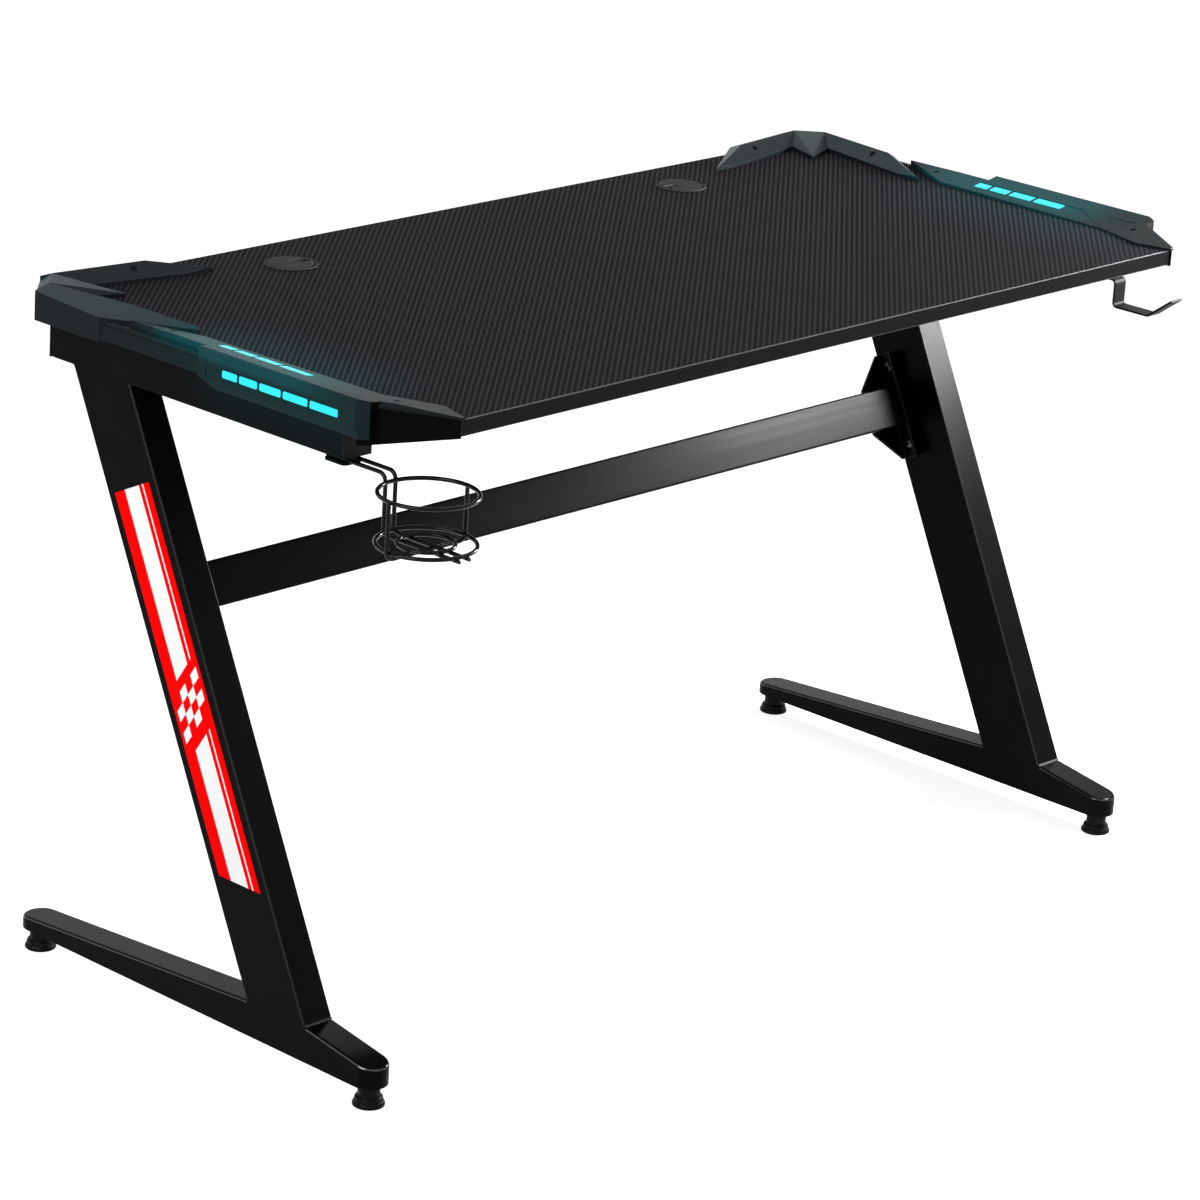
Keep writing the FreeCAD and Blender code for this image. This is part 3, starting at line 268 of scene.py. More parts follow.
def twill_film():
    """PVC film printed and embossed as a twill: slanted ridges, grey on the crown, dark in the valley."""
    made, tree, place = blank("pvc_film_twill")
    # Ridges lie 5.95 mm apart, 40.5 degrees off the panel's long edge, and waver by up to half a radian
    pitch = 5.95
    off_edge = 40.5
    most_waver = 0.5
    turn = (0, 0, math.radians(90.0 - off_edge))
    turned_to_ridge = add(tree, "Mapping", None, {"Vector": place, "Rotation": turn})
    axes = add(tree, "SeparateXYZ", None, {0: turned_to_ridge})
    waver = add(tree, "TexNoise", None, {"Vector": place, "Scale": per_mm(11.0), "Detail": 1.0})
    drift = add(tree, "Math", {"operation": "MULTIPLY"}, {0: waver, 1: most_waver})
    turns = add(tree, "Math", {"operation": "MULTIPLY_ADD"},
                {0: (axes, "X"), 1: 2 * math.pi * per_mm(pitch), 2: drift})
    wave = add(tree, "Math", {"operation": "SINE"}, {0: turns})
    ridge = add(tree, "MapRange", {"interpolation_type": "SMOOTHSTEP"},
                {"Value": wave, "From Min": -0.7, "From Max": 0.9})
    # Floats of thread lie across each ridge, 1.4 mm apart
    float_pitch = 1.4
    steps = add(tree, "Math", {"operation": "MULTIPLY"},
                {0: (axes, "Y"), 1: 2 * math.pi * per_mm(float_pitch)})
    thread = add(tree, "Math", {"operation": "SINE"}, {0: steps})
    lay = add(tree, "MapRange", None, {"Value": thread, "From Min": -1.0, "To Min": 0.84, "To Max": 1.0})
    fibre = add(tree, "TexNoise", None, {"Vector": place, "Scale": per_mm(2.5), "Detail": 3.0})
    fleck = add(tree, "MapRange", None,
                {"Value": fibre, "From Min": 0.25, "From Max": 0.75, "To Min": 0.8, "To Max": 1.1})
    crown = add(tree, "Math", {"operation": "MULTIPLY"}, {0: ridge, 1: lay})
    tone = add(tree, "Math", {"operation": "MULTIPLY", "use_clamp": True}, {0: crown, 1: fleck})
    colour = add(tree, "Mix", COLOURS, {"Factor": tone, "A": linear("#0D0B0E"), "B": linear("#252327")})
    rough = add(tree, "MapRange", None, {"Value": tone, "To Min": 0.7, "To Max": 0.52})
    bump = add(tree, "Bump", None, {"Height": tone, "Distance": 0.2 * MM, "Strength": 0.5})
    # Painted glow of the bars on the film, stronger on the ridges' crowns
    lit = add(tree, "MapRange", None, {"Value": tone, "To Min": 0.018, "To Max": 0.04})
    left = painted_bar_glow(tree, place, LEFT_FILM_ROW, SIDES["left_"])
    right = painted_bar_glow(tree, place, RIGHT_FILM_ROW, SIDES["right_"])
    near_bars = add(tree, "Math", {"operation": "MAXIMUM"}, {0: left, 1: right})
    glow = add(tree, "Math", {"operation": "MULTIPLY"}, {0: near_bars, 1: lit})
    shader = add(tree, "BsdfPrincipled", None, {
        "Base Color": colour, "Roughness": rough, "Normal": bump, "Specular IOR Level": 0.017,
        "Emission Color": linear(BAR_GLOW), "Emission Strength": glow,
    })
    add(tree, "OutputMaterial", None, {"Surface": shader})
    return made


def pressed_pvc(name, dark, pale, rough):
    """PVC lipping ironed on the panel's edges: smooth, with a faint drag along its length."""
    made, tree, place = blank(name)
    # Drag lines are about 1 mm high and 40 mm long
    drag_height = 1.0
    squeeze = 0.025
    uneven = 0.08
    stretched = add(tree, "Mapping", None, {"Vector": place, "Scale": (squeeze, squeeze, 1.0)})
    drag = add(tree, "TexNoise", None, {"Vector": stretched, "Scale": per_mm(drag_height), "Detail": 3.0})
    colour = add(tree, "Mix", COLOURS, {"Factor": drag, "A": linear(dark), "B": linear(pale)})
    gloss = add(tree, "MapRange", None, {"Value": drag, "To Min": rough - uneven, "To Max": rough + uneven})
    bump = add(tree, "Bump", None, {"Height": drag, "Distance": 0.02 * MM, "Strength": 0.4})
    shader = add(tree, "BsdfPrincipled", None,
                 {"Base Color": colour, "Roughness": gloss, "Normal": bump, "Specular IOR Level": 0.07})
    add(tree, "OutputMaterial", None, {"Surface": shader})
    return made


def backing_paper():
    """Balancing paper under the panel: matt, with a soft mottle."""
    made, tree, place = blank("backing_paper_black")
    mottle = add(tree, "TexNoise", None, {"Vector": place, "Scale": per_mm(2.0), "Detail": 5.0})
    colour = add(tree, "Mix", COLOURS, {"Factor": mottle, "A": linear("#141415"), "B": linear("#232325")})
    rough = add(tree, "MapRange", None, {"Value": mottle, "To Min": 0.6, "To Max": 0.8})
    bump = add(tree, "Bump", None, {"Height": mottle, "Distance": 0.04 * MM, "Strength": 0.5})
    shader = add(tree, "BsdfPrincipled", None,
                 {"Base Color": colour, "Roughness": rough, "Normal": bump, "Specular IOR Level": 0.15})
    add(tree, "OutputMaterial", None, {"Surface": shader})
    return made


def trim_abs(name, dark, pale):
    """Charcoal ABS moulded in a spark-eroded tool: fine matt grain, with painted teal light and glow where
    the bars light it.
    """
    made, tree, place = blank(name)
    # Real grain is under 0.2 mm; it is drawn 0.8 mm wide so that it shows
    grain = add(tree, "TexNoise", None, {"Vector": place, "Scale": per_mm(0.8), "Detail": 2.0})
    drift = add(tree, "TexNoise", None, {"Vector": place, "Scale": per_mm(60.0), "Detail": 2.0})
    tone = add(tree, "Mix", None, {"Factor": 0.5, "A": grain, "B": drift})
    plain = add(tree, "Mix", COLOURS, {"Factor": tone, "A": linear(dark), "B": linear(pale)})
    # Painted light: near the bars the base colour turns teal
    teal = add(tree, "Mix", COLOURS, {"Factor": tone, "A": linear("#0C1B1D"), "B": linear("#122527")})
    over = painted_bar_glow(tree, place, TOP_ROW)
    beside = painted_bar_glow(tree, place, SIDE_ROW)
    share = add(tree, "Math", {"operation": "MAXIMUM"}, {0: over, 1: beside})
    colour = add(tree, "Mix", COLOURS, {"Factor": share, "A": plain, "B": teal})
    rough = add(tree, "MapRange", None, {"Value": drift, "To Min": 0.32, "To Max": 0.44})
    bump = add(tree, "Bump", None, {"Height": grain, "Distance": 0.03 * MM, "Strength": 0.6})
    # Painted glow: faces over the panel take it from the top row, faces beside it from the side row
    top_strength = 0.075
    side_strength = 0.012
    beside_height = PANEL_TOP - 2.0
    over_height = PANEL_TOP + 4.0
    axes = add(tree, "SeparateXYZ", None, {0: place})
    facing = add(tree, "MapRange", None, {
        "Value": (axes, "Z"), "From Min": beside_height * MM, "From Max": over_height * MM,
        "To Min": 0.0, "To Max": top_strength,
    })
    from_top = add(tree, "Math", {"operation": "MULTIPLY"}, {0: over, 1: facing})
    glow = add(tree, "Math", {"operation": "MULTIPLY_ADD"}, {0: beside, 1: side_strength, 2: from_top})
    shader = add(tree, "BsdfPrincipled", None, {
        "Base Color": colour, "Roughness": rough, "Normal": bump, "Specular IOR Level": 0.04,
        "Emission Color": linear(BAR_GLOW), "Emission Strength": glow,
    })
    add(tree, "OutputMaterial", None, {"Surface": shader})
    return made


def moulded_plastic(name, dark, pale, roughness, sheen):
    """Plain moulded plastic: matt, with a fine even grain."""
    made, tree, place = blank(name)
    # Real grain is under 0.2 mm; it is drawn 0.7 mm wide so that it shows
    grain = add(tree, "TexNoise", None, {"Vector": place, "Scale": per_mm(0.7), "Detail": 2.0})
    drift = add(tree, "TexNoise", None, {"Vector": place, "Scale": per_mm(40.0), "Detail": 2.0})
    tone = add(tree, "Mix", None, {"Factor": 0.5, "A": grain, "B": drift})
    colour = add(tree, "Mix", COLOURS, {"Factor": tone, "A": linear(dark), "B": linear(pale)})
    rough = add(tree, "MapRange", None, {"Value": drift, "To Min": roughness[0], "To Max": roughness[1]})
    bump = add(tree, "Bump", None, {"Height": grain, "Distance": 0.03 * MM, "Strength": 0.5})
    shader = add(tree, "BsdfPrincipled", None,
                 {"Base Color": colour, "Roughness": rough, "Normal": bump, "Specular IOR Level": sheen})
    add(tree, "OutputMaterial", None, {"Surface": shader})
    return made


def lit_acrylic(name, strength, gaps=()):
    """Opal acrylic lit from behind: an even cyan that fades over the last millimetre before each gap."""
    made, tree, place = blank(name)
    half_gap = 1.7
    fade = 1.0
    axes = add(tree, "SeparateXYZ", None, {0: place})
    share = strength
    for gap in gaps:
        past = add(tree, "Math", {"operation": "SUBTRACT"}, {0: (axes, "Y"), 1: (gap + MIDDLE_Y) * MM})
        off = add(tree, "Math", {"operation": "ABSOLUTE"}, {0: past})
        end = add(tree, "MapRange", None, {
            "Value": off, "From Min": half_gap * MM, "From Max": (half_gap + fade) * MM, "To Min": 0.06,
        })
        share = add(tree, "Math", {"operation": "MULTIPLY"}, {0: share, 1: end})
    patch = add(tree, "TexNoise", None, {"Vector": place, "Scale": per_mm(14.0), "Detail": 1.0})
    colour = add(tree, "Mix", COLOURS, {"Factor": patch, "A": linear("#021E22"), "B": linear("#04292D")})
    lit = add(tree, "Mix", COLOURS, {"Factor": patch, "A": linear("#14E6F4"), "B": linear("#2EFAFF")})
    shader = add(tree, "BsdfPrincipled", None, {
        "Base Color": colour, "Roughness": 0.3, "Specular IOR Level": 0.2,
        "Emission Color": lit, "Emission Strength": share,
    })
    add(tree, "OutputMaterial", None, {"Surface": shader})
    return made


def stripe(tree, across, low, high):
    """1 between two places in millimetres and 0 outside them."""
    over = add(tree, "Math", {"operation": "GREATER_THAN"}, {0: across, 1: low * MM})
    under = add(tree, "Math", {"operation": "LESS_THAN"}, {0: across, 1: high * MM})
    return add(tree, "Math", {"operation": "MULTIPLY"}, {0: over, 1: under})


def printed_vinyl():
    """Printed vinyl: red with a broad white stripe, a pinstripe and a chequered band, smooth and even."""
    made, tree, place = blank("printed_vinyl")
    # Stripes run up the leg, and a band of 12 mm squares crosses them on a slant. Widths are across the leg,
    # and the gap and the band's run are up it from the foot
    broad_stripe = (-12.0, 12.0)
    pinstripe = (-19.5, -17.5)
    stripe_gap = (296.0, 372.0)
    band_run = (312.0, 360.0)
    band_width = (-24.0, 24.0)
    square = per_mm(12.0)
    slope = 0.6
    foot_place = (MIDDLE_X * MM, (LEG_AT_FOOT + MIDDLE_Y) * MM, FOOT_TOP * MM)
    from_foot = add(tree, "VectorMath", {"operation": "SUBTRACT"}, {0: place, 1: foot_place})
    up_leg = (0, math.sin(LEG_LEAN), math.cos(LEG_LEAN))
    over_leg = (0, math.cos(LEG_LEAN), -math.sin(LEG_LEAN))
    along = add(tree, "VectorMath", {"operation": "DOT_PRODUCT"}, {0: from_foot, 1: up_leg})
    across = add(tree, "VectorMath", {"operation": "DOT_PRODUCT"}, {0: from_foot, 1: over_leg})
    slant = add(tree, "Math", {"operation": "MULTIPLY_ADD"}, {0: across, 1: slope, 2: along})
    broad = stripe(tree, across, *broad_stripe)
    pin = stripe(tree, across, *pinstripe)
    stripes = add(tree, "Math", {"operation": "MAXIMUM"}, {0: broad, 1: pin})
    gap = stripe(tree, slant, *stripe_gap)
    outside = add(tree, "Math", {"operation": "SUBTRACT"}, {0: 1.0, 1: gap})
    kept = add(tree, "Math", {"operation": "MULTIPLY"}, {0: stripes, 1: outside})
    row = add(tree, "Math", {"operation": "MULTIPLY"}, {0: slant, 1: square})
    whole_row = add(tree, "Math", {"operation": "FLOOR"}, {0: row})
    column = add(tree, "Math", {"operation": "MULTIPLY"}, {0: across, 1: square})
    whole_column = add(tree, "Math", {"operation": "FLOOR"}, {0: column})
    both = add(tree, "Math", {"operation": "ADD"}, {0: whole_row, 1: whole_column})
    odd = add(tree, "Math", {"operation": "PINGPONG"}, {0: both, 1: 1.0})
    band = add(tree, "Math", {"operation": "MULTIPLY"},
               {0: stripe(tree, slant, *band_run), 1: stripe(tree, across, *band_width)})
    chequer = add(tree, "Math", {"operation": "MULTIPLY"}, {0: odd, 1: band})
    white = add(tree, "Math", {"operation": "MAXIMUM"}, {0: kept, 1: chequer})
    ink = add(tree, "TexNoise", None, {"Vector": place, "Scale": per_mm(30.0), "Detail": 3.0})
    red = add(tree, "Mix", COLOURS, {"Factor": ink, "A": linear("#F90101"), "B": linear("#FF0202")})
    pale = add(tree, "Mix", COLOURS, {"Factor": ink, "A": linear("#F6F7F7"), "B": linear("#FDFEFE")})
    colour = add(tree, "Mix", COLOURS, {"Factor": white, "A": red, "B": pale})
    creep = add(tree, "TexNoise", None, {"Vector": place, "Scale": per_mm(6.0), "Detail": 2.0})
    bump = add(tree, "Bump", None, {"Height": creep, "Distance": 0.02 * MM, "Strength": 0.4})
    shader = add(tree, "BsdfPrincipled", None,
                 {"Base Color": colour, "Roughness": 0.35, "Normal": bump, "Specular IOR Level": 0.02})
    add(tree, "OutputMaterial", None, {"Surface": shader})
    return made


def plated_steel(name, dark, pale, rough):
    """Turned and plated steel: metallic, with a fine uneven sheen."""
    made, tree, place = blank(name)
    smoother = 0.06
    rougher = 0.08
    sheen = add(tree, "TexNoise", None, {"Vector": place, "Scale": per_mm(0.8), "Detail": 3.0})
    colour = add(tree, "Mix", COLOURS, {"Factor": sheen, "A": linear(dark), "B": linear(pale)})
    gloss = add(tree, "MapRange", None,
                {"Value": sheen, "To Min": rough - smoother, "To Max": rough + rougher})
    bump = add(tree, "Bump", None, {"Height": sheen, "Distance": 0.01 * MM, "Strength": 0.5})
    shader = add(tree, "BsdfPrincipled", None,
                 {"Base Color": colour, "Roughness": gloss, "Normal": bump, "Metallic": 1.0})
    add(tree, "OutputMaterial", None, {"Surface": shader})
    return made


def solder_mask():
    """Circuit board: green lacquer that stands up over its copper tracks."""
    made, tree, place = blank("solder_mask")
    # Tracks lie 2 mm apart and take up a third of that
    pitch = 2.0
    track_level = 0.5
    axes = add(tree, "SeparateXYZ", None, {0: place})
    turns = add(tree, "Math", {"operation": "MULTIPLY"}, {0: (axes, "X"), 1: 2 * math.pi * per_mm(pitch)})
    wave = add(tree, "Math", {"operation": "SINE"}, {0: turns})
    track = add(tree, "Math", {"operation": "GREATER_THAN"}, {0: wave, 1: track_level})
    colour = add(tree, "Mix", COLOURS, {"Factor": track, "A": linear("#0B3D1E"), "B": linear("#14562C")})
    bump = add(tree, "Bump", None, {"Height": track, "Distance": 0.03 * MM, "Strength": 0.5})
    shader = add(tree, "BsdfPrincipled", None, {"Base Color": colour, "Roughness": 0.35, "Normal": bump})
    add(tree, "OutputMaterial", None, {"Surface": shader})
    return made


# Rails, legs and feet: satin black, grey where it mirrors a light, with a faint painted teal glow beside the
# bars
frame_coat = powder_coat(
    "powder_coat_satin_black", "#040405", "#080809", sheen=0.03, roughness=(0.26, 0.34), glow=0.014
)
# Rounded edges of the legs and the cup holder's plate: a thin grey line of painted highlight
frame_edge_painted_highlight = powder_coat("powder_coat_edge_painted_highlight", "#222225", "#2C2C2F", sheen=0.08, roughness=(0.26, 0.34))
# Crossbar: the same black with faint lines along the tube
bar_coat = powder_coat(
    "powder_coat_drawn_tube", "#040405", "#080809", sheen=0.028, roughness=(0.22, 0.42),
    patch_size=5.0, drawn=0.01,
)
# Tops of the feet: glossier than their sides
foot_coat = powder_coat("powder_coat_gloss_foot", "#030304", "#070708", sheen=0.055, roughness=(0.11, 0.16))
# Cut edges of the brackets: a pale line of painted highlight
bracket_painted_highlight = powder_coat("powder_coat_bracket_edge_painted_highlight", "#5A5A5E", "#6C6C70", sheen=0.2, roughness=(0.22, 0.3))
# Rims of the feet: a bright line of painted highlight where the coat turns over
foot_rim_painted_highlight = powder_coat("powder_coat_rim_painted_highlight", "#0A0A0B", "#101011", sheen=0.8, roughness=(0.12, 0.18))
# Cup holder's wire: deep black with small sharp glints
wire_coat = powder_coat("powder_coat_gloss_wire", "#020203", "#050506", sheen=0.14, roughness=(0.15, 0.21))
# Headset hook: matt and a little paler than the frame
hook_coat = powder_coat("powder_coat_hook", "#0E0E0F", "#161618", sheen=0.03, roughness=(0.44, 0.52))
weld_coat = weld_bead()
film = twill_film()
# Sides of the panel: smooth black. Their rounded top edge is a thin pale line of painted highlight under the
# film
lipping = pressed_pvc("pvc_lipping", "#0C0C0D", "#131315", rough=0.24)
panel_edge_painted_highlight = pressed_pvc("pvc_lipping_painted_highlight", "#5C5C60", "#747478", rough=0.62)
backing = backing_paper()
# Trims: dark charcoal, with painted light making the facets that face the light paler, and a painted
# highlight, palest, along the rounded edges
charcoal_abs = trim_abs("abs_trim_charcoal", "#121618", "#1B2123")
facet_abs_painted_light = trim_abs("abs_trim_facet_painted_light", "#2E3638", "#384144")
charcoal_edge_painted_highlight = trim_abs("abs_trim_edge_painted_highlight", "#3C4446", "#4A5355")
# Skirts, caps, rings, glides, controller and leads: blacks that differ in depth and gloss. The skirts' deeper
# black is painted shade, the grey on the rounded edges is a painted highlight, and the button is greyer
skirt_abs_painted_shade = moulded_plastic("abs_skirt_painted_shade", "#040404", "#080808", roughness=(0.5, 0.62), sheen=0.02)
black_abs = moulded_plastic("abs_black", "#151517", "#1D1D1F", roughness=(0.42, 0.55), sheen=0.04)
ring_abs = moulded_plastic("abs_ring", "#0B0B0C", "#121213", roughness=(0.5, 0.62), sheen=0.03)
black_abs_edge_painted_highlight = moulded_plastic("abs_black_edge_painted_highlight", "#444447", "#515154", roughness=(0.42, 0.55), sheen=0.06)
cap_pe = moulded_plastic("polythene_cap", "#101011", "#171718", roughness=(0.45, 0.58), sheen=0.1)
glide_nylon = moulded_plastic("nylon_glide", "#060607", "#0B0B0C", roughness=(0.36, 0.48), sheen=0.07)
button_abs = moulded_plastic("abs_button", "#343437", "#3F3F42", roughness=(0.4, 0.5), sheen=0.3)
lead_pvc = moulded_plastic("pvc_sheath", "#0E0E0F", "#1B1B1C", roughness=(0.45, 0.6), sheen=0.3)
# Light bars: full on their faces and dim along their edges
acrylic = lit_acrylic("opal_acrylic_lit", strength=1.0)
top_acrylic = lit_acrylic("opal_acrylic_top_bars", strength=1.0, gaps=TOP_GAPS)
acrylic_edge = lit_acrylic("opal_acrylic_edge", strength=0.12)
vinyl = printed_vinyl()
# Fasteners: dark grey metal, and on the trims a flat black that is painted shade for their recesses. The
# inlet's shell is bright
black_zinc = plated_steel("black_zinc_steel", "#3A3A3D", "#4C4C50", rough=0.34)
screw_painted_shade = powder_coat("screw_steel_painted_shade", "#020203", "#050506", sheen=0.01, roughness=(0.5, 0.6))
nickel = plated_steel("nickel_plate", "#A9A8A3", "#C4C3BE", rough=0.24)
board_green = solder_mask()

SLOT_FINISH = {
    "twill_panel": film,
    "powder_coated_steel": frame_coat,
    "hook_steel": hook_coat,
    "trim_plastic": charcoal_abs,
    "black_plastic": black_abs,
    "glide_plastic": glide_nylon,
    "light_diffuser": acrylic,
    "circuit_board": board_green,
    "lead_sheath": lead_pvc,
    "fastener_steel": black_zinc,
    "decal_film": vinyl,
    "button_plastic": button_abs,
    "inlet_metal": nickel,
}
# Rounded edges: pale painted highlights, and a dim edge on the light bars
EDGE_HIGHLIGHT_FINISH = {
    "trim_plastic": charcoal_edge_painted_highlight,
    "powder_coated_steel": frame_edge_painted_highlight,
    "black_plastic": black_abs_edge_painted_highlight,
    "light_diffuser": acrylic_edge,
}
NODE_SLOT = {row["node"]: row["material_slot"] for row in frame["record"]["subparts"]}
BODY_OF = {node: body for body, nodes in frame["record"]["behaviour"]["bodies"].items() for node in nodes}


def spot(x, y, z):
    """Place measured from the middle of the rails, on the floor."""
    return Vector((x + MIDDLE_X, y + MIDDLE_Y, z)) * MM


def dress(piece, finish):
    """Gives a piece one finish all over."""
    piece.data.materials.clear()
    piece.data.materials.append(finish)


def also(piece, finish):
    """Adds a finish to a piece and tells its number there."""
    piece.data.materials.append(finish)
    return len(piece.data.materials) - 1


def slot_finishes(node):
    """Finishes of a node's faces and of its rounded edges, the latter often a painted highlight."""
    face = SLOT_FINISH[NODE_SLOT[node]]
    return face, EDGE_HIGHLIGHT_FINISH.get(NODE_SLOT[node], face)


def finished(name, shape, node, *finishes):
    """Piece from a bmesh that stands for a node, smooth over its rounded edges and flat on its faces."""
    mesh = bpy.data.meshes.new(name)
    shape.to_mesh(mesh)
    shape.free()
    piece = bpy.data.objects.new(name, mesh)
    bpy.context.scene.collection.objects.link(piece)
    for finish in finishes or slot_finishes(node):
        mesh.materials.append(finish)
    mesh.shade_smooth()
    mesh.set_sharp_from_angle(angle=CRISP_ANGLE)
    piece.modifiers.new("flat_faces", "WEIGHTED_NORMAL").keep_sharp = True
    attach(piece, BODY_OF[node])
    return piece


def joined(node):
    """Copy of a solid's mesh with its loose triangles joined."""
    shape = bmesh.new()
    shape.from_mesh(frame["nodes"][node].data)
    bmesh.ops.remove_doubles(shape, verts=shape.verts, dist=SOLID_JOIN * MM)
    return shape


def merged(node):
    """Copy of a solid's mesh with its triangles joined up into flat faces."""
    shape = joined(node)
    bmesh.ops.dissolve_limit(
        shape, angle_limit=FLAT_ANGLE, use_dissolve_boundaries=False, verts=shape.verts, edges=shape.edges
    )
    return shape


def eased(shape, radius, shortest=0.0, segments=3):
    """Rounds the sharp edges that are longer than a length. The rounds take the second finish, on many pieces
    a pale painted highlight.
    """
    sharp = []
    for edge in shape.edges:
        if len(edge.link_faces) == 2 and edge.calc_face_angle() > ROUNDED_ANGLE:
            if edge.calc_length() > shortest * MM:
                sharp.append(edge)
    rounds = bmesh.ops.bevel(
        shape, geom=sharp, offset=radius * MM, offset_type="OFFSET", affect="EDGES", segments=segments,
        profile=0.5, material=-1, clamp_overlap=True,
    )
    for face in rounds["faces"]:
        face.material_index = ROUND
    return shape


def softened(node, radius, shortest=0.0, segments=3, finish=None, edge=None):
    """Stands for a node: its shape with the sharp edges rounded."""
    shape = eased(merged(node), radius, shortest, segments)
    face_finish, edge_finish = slot_finishes(node)
    piece = finished(node + "_soft", shape, node, finish or face_finish, edge or finish or edge_finish)
    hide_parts(node)
    return piece


def smoothed(node, finish):
    """Stands for a node whose shape is round already."""
    piece = finished(node + "_smooth", joined(node), node, finish)
    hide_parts(node)


def panel():
    """Tabletop with film above, lipping round its edges and backing paper below."""
    shape = eased(merged("tabletop"), radius=1.0, shortest=30.0)
    side_face = 2
    under_face = 3
    for face in shape.faces:
        if face.material_index == FACE and face.normal.z < -LEVEL:
            face.material_index = under_face
        elif face.material_index == FACE and face.normal.z <= LEVEL:
            face.material_index = side_face
    # Its rounded edges take a pale painted highlight
    piece = finished("tabletop_dressed", shape, "tabletop", film, panel_edge_painted_highlight, lipping, backing)
    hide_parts("tabletop")


def corner_trim(node):
    """Rear corner trim, with painted light: paler on the facets that look up and don't lean far to the front.
    """
    piece = softened(node, radius=0.9, shortest=4.0)
    facet = also(piece, facet_abs_painted_light)
    least_up = 0.25
    most_front = -0.45
    for polygon in piece.data.polygons:
        looks_up = polygon.normal.z > least_up and polygon.normal.y > most_front
        if polygon.material_index == FACE and looks_up:
            polygon.material_index = facet


def side_trim(node):
    """Side trim whose front skirt, set back under the top, is near black as painted shade."""
    piece = softened(node, radius=0.8, shortest=4.0)
    skirt = also(piece, skirt_abs_painted_shade)
    back = (SKIRT_BACK + MIDDLE_Y) * MM
    top = SKIRT_TOP * MM
    for polygon in piece.data.polygons:
        if polygon.center.y < back and polygon.center.z < top:
            polygon.material_index = skirt


def foot(node):
    """Foot, glossy on top and with a painted highlight, a bright line along the middle of its rounded rim."""
    piece = softened(node, radius=0.8, finish=frame_coat)
    rim = also(piece, foot_rim_painted_highlight)
    top = also(piece, foot_coat)
    for polygon in piece.data.polygons:
        if polygon.material_index == FACE and polygon.normal.z > RIM_LEAST:
            polygon.material_index = rim if polygon.normal.z < RIM_MOST else top


def turned(profile, steps):
    """Lathe work: radius and height pairs, from the axis to the axis, spun round it."""
    shape = bmesh.new()
    points = [shape.verts.new((radius * MM, 0, height * MM)) for radius, height in profile]
    lines = [shape.edges.new(pair) for pair in zip(points, points[1:])]
    bmesh.ops.spin(
        shape, geom=points + lines, axis=(0, 0, 1), cent=(0, 0, 0), angle=2 * math.pi, steps=steps,
        use_merge=True,
    )
    bmesh.ops.remove_doubles(shape, verts=shape.verts, dist=LATHE_JOIN * MM)
    bmesh.ops.recalc_face_normals(shape, faces=shape.faces)
    return shape


def cross_screw(head, height, shank, length):
    """Pan head screw with a cross recess, its seat at zero and its head up."""
    recess = head * 0.55
    recess_floor = height * 0.35
    # The head's crown is given in shares of its radius and height
    profile = [
        (0, recess_floor), (recess, recess_floor), (recess, height * 0.96), (head * 0.72, height * 0.92),
        (head * 0.93, height * 0.62), (head, height * 0.25), (head, 0),
        (shank, 0), (shank, -length), (0, -length),
    ]
    shape = turned(profile, SCREW_STEPS)
    # Between its four arms the recess's wall comes in towards the axis
    half_arm = 12
    web = 0.36
    lowest = height * 0.3 * MM
    for vert in shape.verts:
        if vert.co.z > lowest and abs(vert.co.xy.length - recess * MM) < ON_WALL * MM:
            off_arm = math.degrees(math.atan2(vert.co.y, vert.co.x)) % 90
            if min(off_arm, 90 - off_arm) > half_arm:
                vert.co.xy *= web
    return shape


def socket_bolt(head, height, shank, length):
    """Button head bolt with a hexagon socket, its seat at zero and its head up."""
    socket = head * 0.48
    socket_floor = height * 0.3
    # The head's crown is given in shares of its radius and height
    profile = [
        (0, socket_floor), (socket, socket_floor), (socket, height), (head * 0.62, height * 0.98),
        (head * 0.86, height * 0.7), (head, height * 0.25), (head, 0),
        (shank, 0), (shank, -length), (0, -length),
    ]
    shape = turned(profile, BOLT_STEPS)
    # The socket's round wall is drawn in to six flats
    sixth = math.radians(60)
    lowest = height * 0.2 * MM
    for vert in shape.verts:
        if vert.co.z > lowest and abs(vert.co.xy.length - socket * MM) < ON_WALL * MM:
            off_flat = math.atan2(vert.co.y, vert.co.x) % sixth - sixth / 2
            vert.co.xy *= math.cos(sixth / 2) / math.cos(off_flat)
    return shape


def fasteners(node, shape, places, *finishes):
    """One piece of several copies of a shape that stands for a node of fasteners."""
    one = bpy.data.meshes.new(node + "_one")
    shape.to_mesh(one)
    shape.free()
    whole = bmesh.new()
    for place in places:
        start = len(whole.verts)
        whole.from_mesh(one)
        whole.verts.ensure_lookup_table()
        bmesh.ops.transform(whole, matrix=place, verts=whole.verts[start:])
    bpy.data.meshes.remove(one)
    piece = finished(node + "_turned", whole, node, *finishes)
    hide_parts(node)


def leg_spot(x, along, across):
    """Place on a leaning leg, by its run up the leg and its offset to the back."""
    y = LEG_AT_FOOT + along * math.sin(LEG_LEAN) + across * math.cos(LEG_LEAN)
    z = FOOT_TOP + along * math.cos(LEG_LEAN) - across * math.sin(LEG_LEAN)
    return spot(x, y, z)


